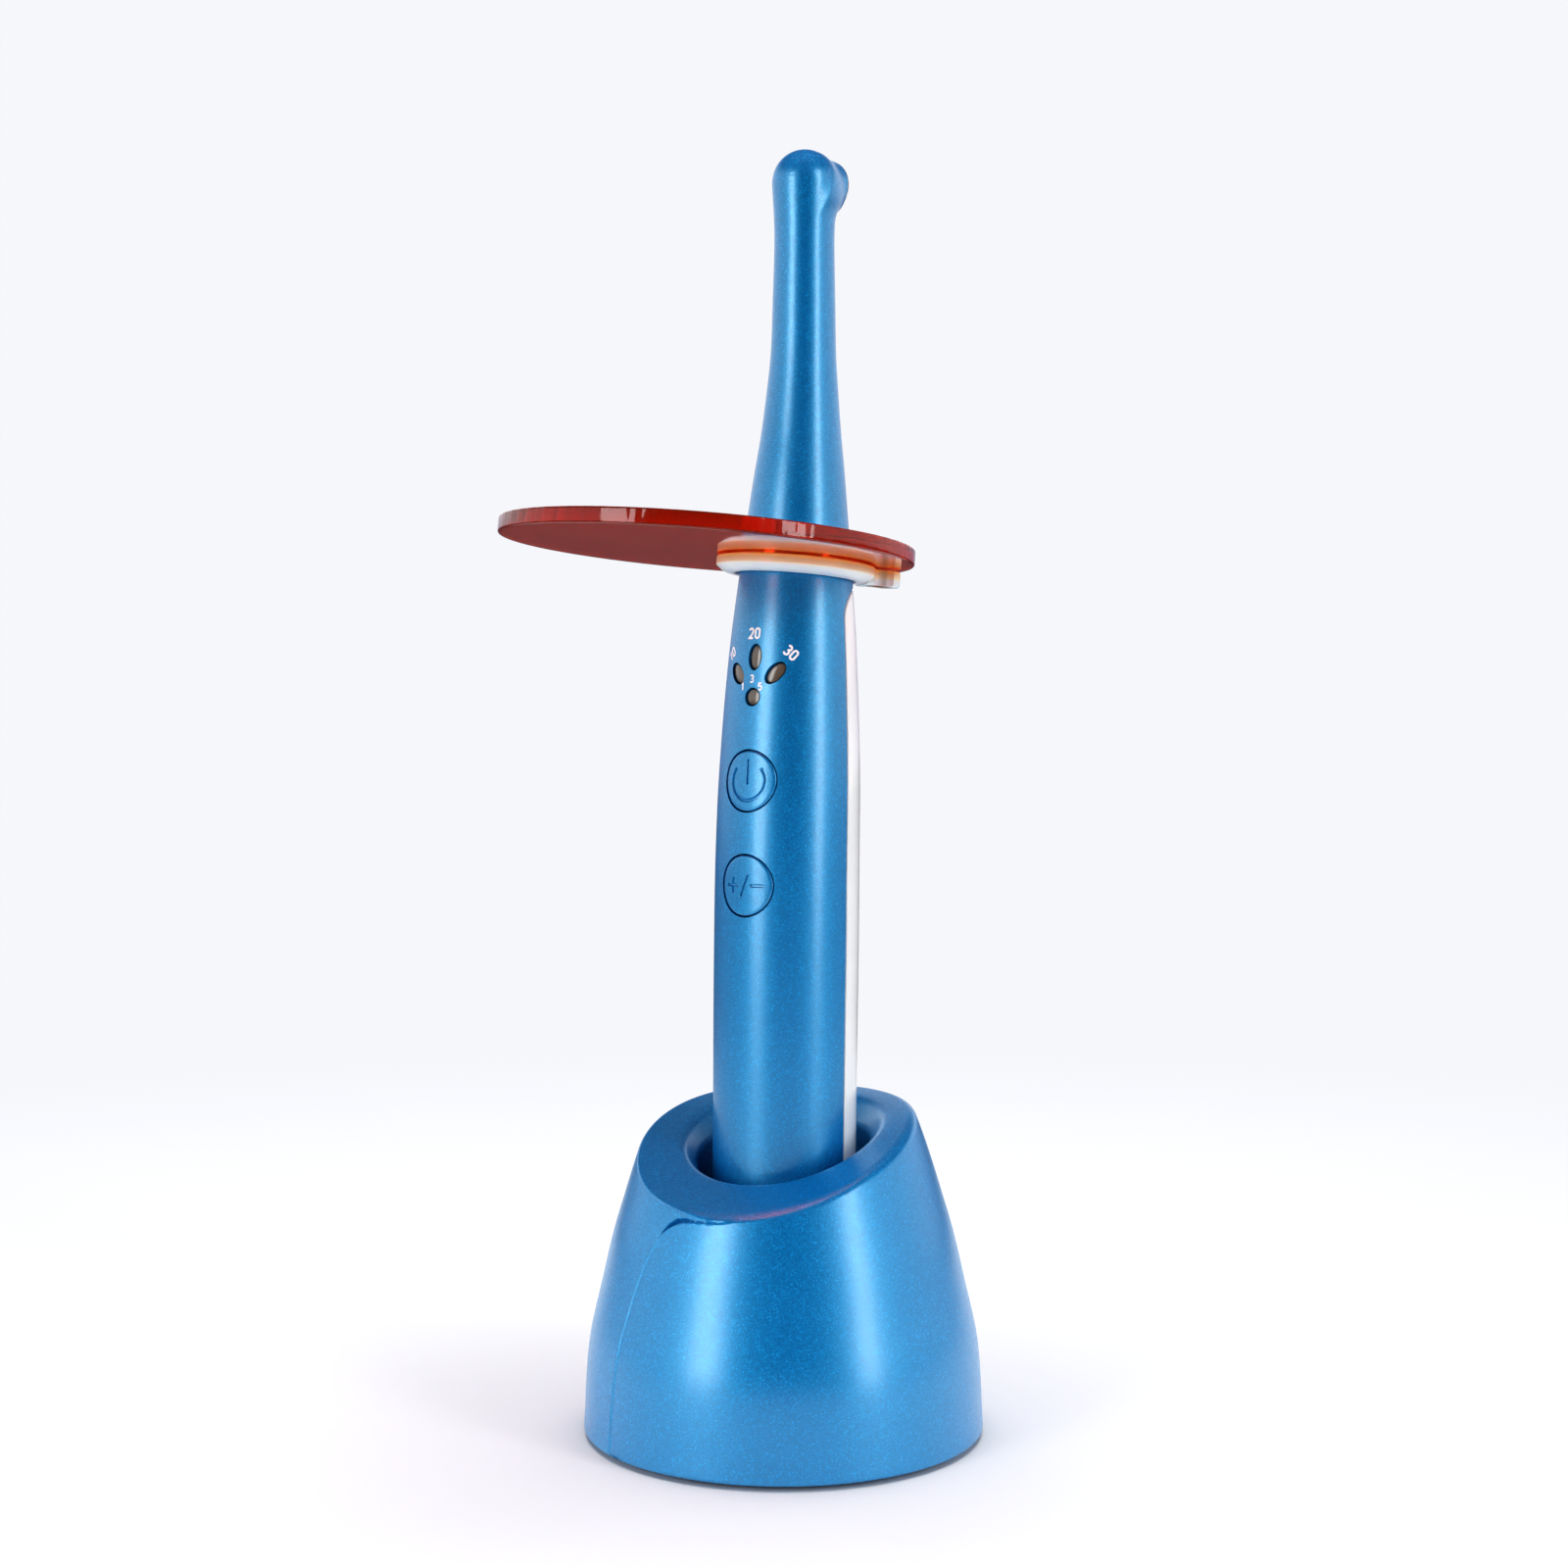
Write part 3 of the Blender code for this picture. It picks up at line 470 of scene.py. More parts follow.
def plastic(name, colour, dark, roughness, scale=500.0, depth=0.00001, metallic=0.0, coat=0.0):
    """Moulded plastic: a faint mottle, a fine grain and uneven polish."""
    mat, tree, shader = new_material(name)
    at = coords(tree)
    tree.links.new(mix(tree, span(tree, noise(tree, at, 130.0, 4.0), 0.35, 0.7, 0.0, 1.0), colour, dark),
                   shader.inputs["Base Color"])
    grain = noise(tree, at, scale * 4, 3.0, 0.6)
    tree.links.new(span(tree, grain, 0.3, 0.7, roughness * 0.85, roughness * 1.2), shader.inputs["Roughness"])
    set_shader(shader, Metallic=metallic, Coat_Weight=coat, Coat_Roughness=0.08)
    bump(tree, shader, grain, 0.25, depth)
    return mat


def metal(name, colour, dark, roughness, scale=2500.0):
    """Machined metal: fine turning marks and small changes of tone."""
    mat, tree, shader = new_material(name)
    at = coords(tree)
    stretched = node(tree, "ShaderNodeMapping")
    stretched.inputs["Scale"].default_value = (1.0, 1.0, 9.0)
    tree.links.new(at, stretched.inputs["Vector"])
    marks = noise(tree, stretched.outputs["Vector"], scale, 4.0, 0.6)
    tree.links.new(mix(tree, span(tree, marks, 0.35, 0.7, 0.0, 1.0), colour, dark), shader.inputs["Base Color"])
    tree.links.new(span(tree, marks, 0.3, 0.7, roughness * 0.8, roughness * 1.3), shader.inputs["Roughness"])
    set_shader(shader, Metallic=1.0)
    bump(tree, shader, marks, 0.2, 0.00001)
    return mat


def white_gloss(name):
    mat, tree, shader = new_material(name)
    at = coords(tree)
    tree.links.new(mix(tree, span(tree, noise(tree, at, 90.0, 3.0), 0.3, 0.7, 0.0, 1.0),
                       (0.90, 0.90, 0.90), (0.84, 0.845, 0.85)), shader.inputs["Base Color"])
    tree.links.new(span(tree, noise(tree, at, 700.0, 3.0), 0.3, 0.7, 0.13, 0.2), shader.inputs["Roughness"])
    set_shader(shader, Coat_Weight=0.5, Coat_Roughness=0.05)
    bump(tree, shader, noise(tree, at, 1500.0, 2.0), 0.05, 0.00001)
    return mat


def orange_acrylic(name):
    """Clear orange sheet: a light tint at its faces and a deep one through its thickness."""
    mat, tree, shader = new_material(name)
    at = coords(tree)
    tree.links.new(mix(tree, span(tree, noise(tree, at, 30.0, 2.0), 0.35, 0.75, 0.0, 1.0),
                       (0.90, 0.125, 0.03), (0.95, 0.18, 0.04)), shader.inputs["Base Color"])
    tree.links.new(span(tree, noise(tree, at, 350.0, 4.0), 0.4, 0.75, 0.02, 0.10), shader.inputs["Roughness"])
    set_shader(shader, Transmission_Weight=0.93, IOR=1.45, Specular_IOR_Level=0.3)
    depth = tree.nodes.new("ShaderNodeVolumeAbsorption")
    depth.inputs["Color"].default_value = (0.975, 0.60, 0.25, 1.0)
    depth.inputs["Density"].default_value = 380.0
    tree.links.new(depth.outputs[0], tree.nodes["Material Output"].inputs["Volume"])
    bump(tree, shader, noise(tree, at, 220.0, 2.0), 0.04, 0.00003)
    return mat


def silicone(name):
    """Milky silicone, with painted orange light in a band where the disc sits over it and painted shade round the tab's
    bore.
    """
    mat, tree, shader = new_material(name)
    at = coords(tree)
    moved = node(tree, "ShaderNodeVectorMath", operation="SUBTRACT")
    moved.inputs[1].default_value = tuple(Vector(SHIELD_AT) * MM)
    tree.links.new(at, moved.inputs[0])
    along = node(tree, "ShaderNodeVectorMath", operation="DOT_PRODUCT")
    along.inputs[1].default_value = tuple(Vector(SHIELD_AXIS).normalized())
    tree.links.new(moved.outputs[0], along.inputs[0])
    height = span(tree, along.outputs["Value"], -0.0036, 0.0048, 0.0, 1.0)
    # painted light: the amber and orange bands up the ring stand in for light tinted by passing through the orange disc
    # above
    tone_with_painted_light = ramp(tree, height, [
        (0.00, (0.62, 0.69, 0.76)), (0.16, (0.72, 0.75, 0.76)), (0.205, (0.84, 0.68, 0.46)),
        (0.30, (0.72, 0.50, 0.26)), (0.385, (0.95, 0.50, 0.08)), (0.46, (0.82, 0.44, 0.14)),
        (0.80, (0.85, 0.52, 0.24)), (0.93, (0.74, 0.74, 0.70)),
    ])
    # painted shade: round the tab's bore, which shows through the milky wall, the silicone is darkened brown where the
    # bore and waist lie in shade
    out = Vector((-DISC_CENTRE[0], -DISC_CENTRE[1], 0)).normalized() * 17.3 * MM
    bore = node(tree, "ShaderNodeVectorMath", operation="SUBTRACT")
    bore.inputs[1].default_value = tuple(SHIELD @ out)
    tree.links.new(at, bore.inputs[0])
    across = node(tree, "ShaderNodeVectorMath", operation="CROSS_PRODUCT")
    across.inputs[1].default_value = tuple(Vector(SHIELD_AXIS).normalized())
    tree.links.new(bore.outputs[0], across.inputs[0])
    radius = node(tree, "ShaderNodeVectorMath", operation="LENGTH")
    tree.links.new(across.outputs[0], radius.inputs[0])
    tone_with_painted_light = mix(tree, span(tree, radius.outputs["Value"], 0.0022, 0.0030, 0.85, 0.0), tone_with_painted_light, (0.16, 0.085, 0.03))
    cloud = noise(tree, at, 260.0, 4.0)
    tree.links.new(mix(tree, span(tree, cloud, 0.3, 0.7, 0.0, 0.14), tone_with_painted_light, (0.95, 0.9, 0.82)),
                   shader.inputs["Base Color"])
    tree.links.new(span(tree, noise(tree, at, 1400.0, 3.0), 0.3, 0.7, 0.30, 0.42), shader.inputs["Roughness"])
    set_shader(shader, Subsurface_Weight=0.35, Subsurface_Scale=0.0015, Coat_Weight=0.15, Coat_Roughness=0.2)
    bump(tree, shader, cloud, 0.12, 0.00006)
    return mat


def smoked(name):
    mat, tree, shader = new_material(name)
    at = coords(tree)
    ribs = node(tree, "ShaderNodeTexWave", wave_type="BANDS", bands_direction="X")
    ribs.inputs["Scale"].default_value = 900.0
    ribs.inputs["Distortion"].default_value = 1.5
    ribs.inputs["Detail"].default_value = 2.0
    tree.links.new(at, ribs.inputs["Vector"])
    tone = mix(tree, span(tree, ribs.outputs["Fac"], 0.0, 1.0, 0.0, 0.55), (0.105, 0.088, 0.066), (0.065, 0.054, 0.042))
    tone = mix(tree, span(tree, noise(tree, at, 500.0, 2.0), 0.35, 0.7, 0.0, 0.5), tone, (0.17, 0.135, 0.10))
    tree.links.new(tone, shader.inputs["Base Color"])
    tree.links.new(span(tree, noise(tree, at, 1600.0, 2.0), 0.3, 0.7, 0.16, 0.26), shader.inputs["Roughness"])
    set_shader(shader, Coat_Weight=0.6, Coat_Roughness=0.06)
    bump(tree, shader, ribs.outputs["Fac"], 0.06, 0.00002)
    return mat


def glass(name):
    mat, tree, shader = new_material(name)
    at = coords(tree)
    tree.links.new(mix(tree, span(tree, noise(tree, at, 400.0, 2.0), 0.3, 0.7, 0.0, 1.0),
                       (0.97, 0.985, 1.0), (0.93, 0.96, 0.99)), shader.inputs["Base Color"])
    tree.links.new(span(tree, noise(tree, at, 1500.0, 3.0), 0.3, 0.7, 0.01, 0.04), shader.inputs["Roughness"])
    set_shader(shader, Transmission_Weight=1.0, IOR=1.5)
    return mat


def board(name):
    """Solder mask over copper: a lighter weave of tracks under green lacquer."""
    mat, tree, shader = new_material(name)
    at = coords(tree)
    tracks = node(tree, "ShaderNodeTexBrick")
    tracks.inputs["Scale"].default_value = 420.0
    tracks.inputs["Color1"].default_value = (0.012, 0.16, 0.07, 1)
    tracks.inputs["Color2"].default_value = (0.02, 0.21, 0.09, 1)
    tracks.inputs["Mortar"].default_value = (0.05, 0.34, 0.15, 1)
    tree.links.new(at, tracks.inputs["Vector"])
    tree.links.new(tracks.outputs["Color"], shader.inputs["Base Color"])
    tree.links.new(span(tree, noise(tree, at, 900.0, 2.0), 0.3, 0.7, 0.28, 0.42), shader.inputs["Roughness"])
    bump(tree, shader, tracks.outputs["Fac"], 0.2, 0.00003)
    return mat


BLUE = blue_pearl("blue_pearl")
WHITE = white_gloss("white_gloss")
ORANGE = orange_acrylic("orange_acrylic")
SILICONE = silicone("silicone")
SMOKED = smoked("smoked_window")
LENS = glass("lens_clear")
DARK = plastic("dark_plastic", (0.022, 0.025, 0.032), (0.012, 0.014, 0.02), 0.45)
RUBBER = plastic("foot_rubber", (0.03, 0.03, 0.03), (0.018, 0.018, 0.019), 0.75, 900.0, 0.00004)
PRINT = plastic("white_print", (0.92, 0.93, 0.95), (0.84, 0.86, 0.9), 0.4, 1500.0, 0.000004)
STEEL = metal("steel", (0.62, 0.63, 0.65), (0.48, 0.49, 0.51), 0.28)
GOLD = metal("gold_contact", (0.86, 0.62, 0.24), (0.74, 0.50, 0.18), 0.2)
BOARD = board("circuit_board")
BLACK = plastic("component_black", (0.028, 0.028, 0.03), (0.016, 0.016, 0.018), 0.42, 800.0)
LIGHT = plastic("component_white", (0.80, 0.80, 0.76), (0.70, 0.70, 0.66), 0.35, 800.0)
EMITTER = plastic("emitter", (0.88, 0.74, 0.16), (0.78, 0.62, 0.10), 0.2, 1500.0, 0.00001, 0.0, 0.6)
CELL = plastic("cell", (0.05, 0.32, 0.20), (0.035, 0.25, 0.15), 0.3, 300.0, 0.00001, 0.0, 0.4)
SPREADER = metal("spreader", (0.72, 0.73, 0.75), (0.60, 0.61, 0.63), 0.36, 1400.0)
RED = plastic("lead_red", (0.50, 0.02, 0.015), (0.38, 0.012, 0.01), 0.4, 900.0)
LEAD = plastic("lead_black", (0.02, 0.02, 0.022), (0.012, 0.012, 0.013), 0.4, 900.0)

# --------------------------------------------------------- handpiece outlines
HEAD_C = np.array([0.0, KNOB_Y, 245.0])
ROW_END_Z = 234.6
EDGE_STEPS = [0.0, 0.05, 0.11, 0.18, 0.26, 0.4, 0.7, 1.15, 1.75]


def head_distance(p):
    """Signed distance of the head: neck, round knob and nozzle, flowing into each other."""
    q = np.stack([p[..., 0], p[..., 1] - KNOB_Y], -1)
    rho = np.linalg.norm(q, axis=-1)
    z = p[..., 2]
    low = rho - handle_r(z)
    ball = np.sqrt(rho**2 + (z - KNOB_Z) ** 2) - (KNOB_R - 0.03)
    body = np.where(z < KNOB_Z, low, ball)
    radial = np.sqrt(p[..., 0] ** 2 + (z - NOZZLE_Z) ** 2) - NOZZLE_R
    end = np.maximum(p[..., 1] - 15.0, 6.2 - p[..., 1])
    tube = np.maximum(radial, end)
    k = 5.2 + (1.3 - 5.2) * smooth(240.5, 248.5, z)
    h = np.clip(0.5 + 0.5 * (tube - body) / k, 0, 1)
    return tube * (1 - h) + body * h - k * h * (1 - h)


def cast(origin, direction):
    """Distance along each ray to the head's surface."""
    low = np.full(direction.shape[:-1], 1.5)
    high = np.full(direction.shape[:-1], 17.0)
    for _ in range(34):
        middle = (low + high) / 2
        inside = head_distance(origin + direction * middle[..., None]) < 0
        low = np.where(inside, middle, low)
        high = np.where(inside, high, middle)
    return (low + high) / 2


CORNER_ROUND, CORNER_TALL = 7.5, 6.5  # the white back's upper corners: along its edge, and up the handle


def zone_limit(z, top, half_gap):
    """Angle from the front, in radians, at which the white back begins at a height."""
    r = float(handle_r(z))
    side = math.pi / 2 + math.asin(half_gap / r)
    if z > top - CORNER_TALL:
        u = min(1.0, (z - top + CORNER_TALL) / CORNER_TALL)
        side += CORNER_ROUND * (1 - math.sqrt(1 - u * u)) / r
    return side


def corner_heights(top):
    """Heights through the rounded corner, closer together towards its top."""
    return [top - CORNER_TALL + CORNER_TALL * math.sin(math.pi / 2 * k / 22) for k in range(23)]


def edge_drop(d, r):
    d = np.clip(d, 0, r)
    return r - np.sqrt(np.maximum(0, r * r - (r - d) ** 2))


def near(points, path):
    """Distance of each (s, z) point from a broken line."""
    best = np.full(len(points), 1e9)
    for a, b in zip(path[:-1], path[1:]):
        ab = b - a
        t = np.clip(((points - a) @ ab) / max(ab @ ab, 1e-12), 0, 1)
        best = np.minimum(best, np.linalg.norm(points - (a + t[:, None] * ab), axis=1))
    return best


def ladder(low, high, most, fine_low=True, fine_high=True):
    """Heights from low to high with fine steps at either end."""
    out = []
    a = low + (EDGE_STEPS[-1] if fine_low else 0)
    b = high - (EDGE_STEPS[-1] if fine_high else 0)
    if fine_low:
        out += [low + e for e in EDGE_STEPS[:-1]]
    out += steps_between(a, b, most)
    out += [high - e for e in reversed(EDGE_STEPS)] if fine_high else [high]
    return out


# --------------------------------------------------------------- front shell
def build_front():
    half = PARTING_GAP / 2
    top = REAR_TOP_Z + half
    corner_z = corner_heights(top)
    rows = [SHELL_START_Z + e for e in EDGE_STEPS[:-1]]
    rows += steps_between(SHELL_START_Z + EDGE_STEPS[-1], 96.0, 1.9)
    rows += steps_between(96.0, corner_z[0], 0.75)
    rows += corner_z[:-1]
    i_top = len(rows)
    rows += [top + e for e in EDGE_STEPS[:-1]]
    rows += steps_between(top + EDGE_STEPS[-1], ROW_END_Z, 1.1)
    n_cyl = len(rows)
    elevations = np.radians(np.concatenate([np.arange(-60, -30, 2.0), np.arange(-30, 60, 1.25),
                                            np.arange(60, 90, 2.0)]))
    theta_top = zone_limit(top, top, -half)
    # columns: the share of the way from the middle to the edge, finer at the edge
    span_mm = 21.5
    shares = [1 - e / span_mm for e in EDGE_STEPS]
    inner = list(np.linspace(0, shares[-1], 31))[1:-1]
    positive = sorted(inner + shares)
    columns = np.array([-s for s in reversed(positive)] + [0.0] + positive)
    n_a = len(columns)
    back = np.linspace(theta_top, 2 * math.pi - theta_top, 54)[1:-1]
    n_b = len(back)

    limit = np.array([zone_limit(z, top, -half) if z < top else theta_top for z in rows])
    path = [np.array([limit[i] * handle_r(rows[i]), rows[i]]) for i in range(i_top)]
    path += [np.array([t * handle_r(top), top]) for t in np.linspace(theta_top, math.pi, 12)]

    outer, inner_v, index = [], [], []
    count = 0
    for i, z in enumerate(rows):
        theta = columns * limit[i]
        if i >= i_top:
            theta = np.concatenate([theta, back])
        r = float(handle_r(z))
        s = np.where(theta > math.pi, 2 * math.pi - theta, np.abs(theta)) * r
        d = near(np.stack([s, np.full(len(s), z)], 1), path) if z < top + 3 else np.full(len(s), 9.0)
        rr = r - edge_drop(d, 0.24) - (edge_drop(z - SHELL_START_Z, 0.3) if z < SHELL_START_Z + 0.3 else 0)
        b = float(bend(z))
        outer.append(np.stack([rr * np.sin(theta), b - rr * np.cos(theta), np.full(len(s), z)], 1))
        wall = WALL if z < 166 else NECK_WALL
        ri = np.full(len(s), r - wall)
        inner_v.append(np.stack([ri * np.sin(theta), b - ri * np.cos(theta), np.full(len(s), z)], 1))
        index.append(np.arange(count, count + len(s)))
        count += len(s)
    theta = np.concatenate([columns * theta_top, back])
    for e in elevations:
        direction = np.stack([math.cos(e) * np.sin(theta), -math.cos(e) * np.cos(theta),
                              np.full(len(theta), math.sin(e))], 1)
        t = cast(HEAD_C, direction)
        outer.append(HEAD_C + direction * t[:, None])
        depth = 4.5 / math.cos(e) if e < math.radians(-25.8) else 4.95
        inner_v.append(HEAD_C + direction * depth)
        index.append(np.arange(count, count + len(theta)))
        count += len(theta)
    tip = cast(HEAD_C, np.array([[0.0, 0.0, 1.0]]))[0]
    outer.append(np.array([HEAD_C + np.array([0, 0, tip])]))
    inner_v.append(np.array([HEAD_C + np.array([0, 0, 4.95])]))
    pole = count
    count += 1

    faces = []
    for side in (0, count):
        for i in range(len(index) - 1):
            a, b = index[i], index[i + 1]
            for j in range(n_a - 1):
                faces.append((side + a[j], side + a[j + 1], side + b[j + 1], side + b[j]))
            if i >= i_top:
                loop_a = np.concatenate([[a[n_a - 1]], a[n_a:], [a[0]]])
                loop_b = np.concatenate([[b[n_a - 1]], b[n_a:], [b[0]]])
                for j in range(len(loop_a) - 1):
                    faces.append((side + loop_a[j], side + loop_a[j + 1], side + loop_b[j + 1], side + loop_b[j]))
        last = index[-1]
        for j in range(len(last)):
            faces.append((side + last[j], side + last[(j + 1) % len(last)], side + pole))

    def wall_between(chain):
        for p, q in zip(chain[:-1], chain[1:]):
            faces.append((p, q, count + q, count + p))

    wall_between(list(index[0][:n_a]))
    wall_between([index[i][0] for i in range(i_top + 1)])
    wall_between([index[i][n_a - 1] for i in range(i_top + 1)])
    top_row = index[i_top]
    wall_between([top_row[n_a - 1]] + list(top_row[n_a:]) + [top_row[0]])
    mesh = mesh_from("front_shell_look", np.concatenate(outer + inner_v), faces)
    obj = link("front_shell_look", mesh)

    cutters = [box_mesh("face", (-8, NOZZLE_END_Y, 236), (8, 18, 254))]
    for z in (POWER_BUTTON_Z, MODE_BUTTON_Z):
        cutters.append(extruded_mesh("hole", ellipse(0, z, BUTTON_R + BUTTON_GAP, BUTTON_R + BUTTON_GAP, 0, 120), -8.0, -18.0))
    for x, z, a, b, tilt in WINDOWS:
        cutters.append(extruded_mesh("hole", ellipse(x, z, a + 0.3, b + 0.3, tilt, 56), -5.5, -16.0))
    boolean(obj, cutters)
    bore = bpy.data.meshes.new("bore")
    bm = bmesh.new()
    bmesh.ops.create_cone(
        bm, cap_ends=True, segments=96, radius1=(NOZZLE_R - 0.9) * MM, radius2=(NOZZLE_R - 0.9) * MM,
        depth=9.0 * MM, matrix=Matrix.Translation((0, 9.5 * MM, NOZZLE_Z * MM)) @ Matrix.Rotation(math.pi / 2, 4, "X"),
    )
    bm.to_mesh(bore)
    bm.free()
    boolean(obj, [bore])
    return obj


def handle_normals(mesh):
    """True normals of the handle's outer surface, so that the cut openings don't disturb its shading."""
    count = len(mesh.loops)
    corner = np.empty(count * 3, np.float32)
    mesh.corner_normals.foreach_get("vector", corner)
    corner = corner.reshape(-1, 3).astype(float)
    vert = np.empty(count, np.int32)
    mesh.loops.foreach_get("vertex_index", vert)
    starts = np.empty(len(mesh.polygons), np.int32)
    totals = np.empty(len(mesh.polygons), np.int32)
    mesh.polygons.foreach_get("loop_start", starts)
    mesh.polygons.foreach_get("loop_total", totals)
    face_n = np.empty(len(mesh.polygons) * 3, np.float32)
    mesh.polygons.foreach_get("normal", face_n)
    face_n = face_n.reshape(-1, 3)
    owner = np.zeros(count, np.int64)
    for_order = np.argsort(starts)
    owner[:] = np.repeat(for_order, totals[for_order])
    co = np.empty(len(mesh.vertices) * 3, np.float32)
    mesh.vertices.foreach_get("co", co)
    p = co.reshape(-1, 3)[vert].astype(float) / MM
    z = p[:, 2]
    q = p[:, 1] - bend(z)
    rho = np.hypot(p[:, 0], q)
    sin, cos = p[:, 0] / np.maximum(rho, 1e-6), -q / np.maximum(rho, 1e-6)
    n = np.stack([sin, -cos, np.interp(z, GRID_Z, GRID_DB) * cos - np.interp(z, GRID_Z, GRID_DR)], 1)
    n /= np.linalg.norm(n, axis=1)[:, None]
    r = handle_r(z)
    on_skin = (np.abs(rho - r) < 0.05) & (z > 22) & (z < 233) & ((face_n[owner] * n).sum(1) > 0.86)
    corner[on_skin] = n[on_skin]
    return corner


front = build_front()
place(front, "handpiece", BLUE, ["front_shell"], HAND, 38, handle_normals)


# ---------------------------------------------------------------- rear shell
def build_rear():
    half = PARTING_GAP / 2
    top = REAR_TOP_Z - half
    corner_z = corner_heights(top)
    rows = [SHELL_START_Z + e for e in EDGE_STEPS[:-1]]
    rows += steps_between(SHELL_START_Z + EDGE_STEPS[-1], corner_z[0], 1.7)
    rows += corner_z[:-1]
    # the last rows crowd towards the straight upper edge
    rows = [z for z in rows if z < top - 0.45] + [top - e for e in (0.4, 0.26, 0.18, 0.11, 0.05, 0.0)]
    span_mm = 20.0
    shares = [1 - e / span_mm for e in EDGE_STEPS]
    inner = list(np.linspace(0, shares[-1], 27))[1:-1]
    positive = sorted(inner + shares)
    columns = np.array([-s for s in reversed(positive)] + [0.0] + positive)
    limit = np.array([math.pi - zone_limit(z, top, half) for z in rows])
    path = [np.array([limit[i] * handle_r(rows[i]), rows[i]]) for i in range(len(rows))]
    path += [np.array([0.0, top])]
    outer, inner_v = [], []
    for i, z in enumerate(rows):
        phi = columns * limit[i]
        r = float(handle_r(z))
        s = np.abs(phi) * r
        d = near(np.stack([s, np.full(len(s), z)], 1), path)
        rr = r - edge_drop(d, 0.24) - (edge_drop(z - SHELL_START_Z, 0.3) if z < SHELL_START_Z + 0.3 else 0)
        b = float(bend(z))
        outer.append(np.stack([rr * np.sin(phi), b + rr * np.cos(phi), np.full(len(s), z)], 1))
        ri = r - WALL
        inner_v.append(np.stack([ri * np.sin(phi), b + ri * np.cos(phi), np.full(len(s), z)], 1))
    n, m = len(rows), len(columns)
    count = n * m
    faces = grid_faces(n, m) + grid_faces(n, m, count)
    chain = list(range(m)) + [i * m + m - 1 for i in range(1, n)]
    chain += [(n - 1) * m + j for j in range(m - 2, -1, -1)] + [i * m for i in range(n - 2, -1, -1)]
    for p, q in zip(chain[:-1], chain[1:]):
        faces.append((p, q, count + q, count + p))
    return link("rear_shell_look", mesh_from("rear_shell_look", np.concatenate(outer + inner_v), faces))


place(build_rear(), "handpiece", WHITE, ["rear_shell"], HAND, 38)


# ------------------------------------------------------------------- buttons
def stroke(p, q, a, b, width):
    """How deep in a stroke from a to b each point is: 1 in the middle, 0 outside."""
    a, b = np.array(a, float), np.array(b, float)
    ab = b - a
    t = np.clip(((p - a[0]) * ab[0] + (q - a[1]) * ab[1]) / (ab @ ab), 0, 1)
    d = np.hypot(p - a[0] - t * ab[0], q - a[1] - t * ab[1])
    return 1 - smooth(width / 2 - 0.08, width / 2 + 0.04, d)


def power_mark(p, q):
    rho, angle = np.hypot(p, q), np.degrees(np.arctan2(q, p))
    opening = np.minimum(smooth(48, 54, np.abs(angle - 90)), 1)
    arc = (1 - smooth(0.19, 0.31, np.abs(rho - 3.72))) * opening
    return np.maximum(arc, stroke(p, q, (0, 3.9), (0, -0.4), 0.5))


def mode_mark(p, q):
    """A plus, a slash and a minus: longer, shorter."""
    out = stroke(p, q, (-4.0, 0.0), (-1.6, 0.0), 0.56)
    out = np.maximum(out, stroke(p, q, (-2.8, 1.2), (-2.8, -1.2), 0.56))
    out = np.maximum(out, stroke(p, q, (-0.75, -1.8), (0.75, 1.8), 0.5))
    return np.maximum(out, stroke(p, q, (1.6, 0.0), (4.0, 0.0), 0.56))


def build_button(name, z0, mark):
    edges = [BUTTON_R - e for e in (0.0, 0.04, 0.1, 0.18, 0.28, 0.4, 0.55, 0.72)]
    radii = sorted(list(np.arange(0.13, BUTTON_R - 0.8, 0.12)) + edges)
    steps = 232
    angle = 2 * np.pi * np.arange(steps) / steps
    rings = []
    for rho in radii:
        x, z = rho * np.cos(angle), z0 + rho * np.sin(angle)
        y = bend(z) - np.sqrt(handle_r(z) ** 2 - x**2)
        y = y + edge_drop(np.full(steps, BUTTON_R - rho), 0.5) * 0.75 + 0.42 * mark(x, z - z0)
        rings.append(np.stack([x, y, z], 1))
    back_y = bend(z0) - handle_r(z0) + 1.5
    x, z = BUTTON_R * np.cos(angle), z0 + BUTTON_R * np.sin(angle)
    surface = bend(z) - np.sqrt(handle_r(z) ** 2 - x**2)
    rings.append(np.stack([x, surface + 1.5, z], 1))
    x, z = 2.2 * np.cos(angle), z0 + 2.2 * np.sin(angle)
    rings.append(np.stack([x, bend(z) - np.sqrt(handle_r(z) ** 2 - x**2) + 1.5, z], 1))
    end = SWITCH_TOP_Y - BUTTON_TRAVEL - 0.05
    rings.append(np.stack([x, np.full(steps, end - 0.15), z], 1))
    verts = np.concatenate(rings)
    n = len(rings)
    faces = grid_faces(n, steps, 0, True)
    centre = len(verts)
    y0 = bend(z0) - handle_r(z0) + 0.42 * float(mark(np.array([0.0]), np.array([0.0]))[0])
    verts = np.concatenate([verts, [[0, y0, z0], [0, end - 0.15, z0]]])
    for k in range(steps):
        m = (k + 1) % steps
        faces.append((k, m, centre))
        faces.append(((n - 1) * steps + k, (n - 1) * steps + m, centre + 1))
    cap = mesh_from(name, verts, faces)
    bar = box_mesh(name, (-1.9, end - 0.75, z0 - 6.8), (1.9, end - 0.15, z0 + 6.8))
    del back_y
    return link(name, joined(name, [cap, bar]))


place(build_button("power_button_look", POWER_BUTTON_Z, power_mark), "power_button", BLUE,
      ["power_button"], HAND, 50)
place(build_button("mode_button_look", MODE_BUTTON_Z, mode_mark), "mode_button", BLUE,
      ["mode_button"], HAND, 50)


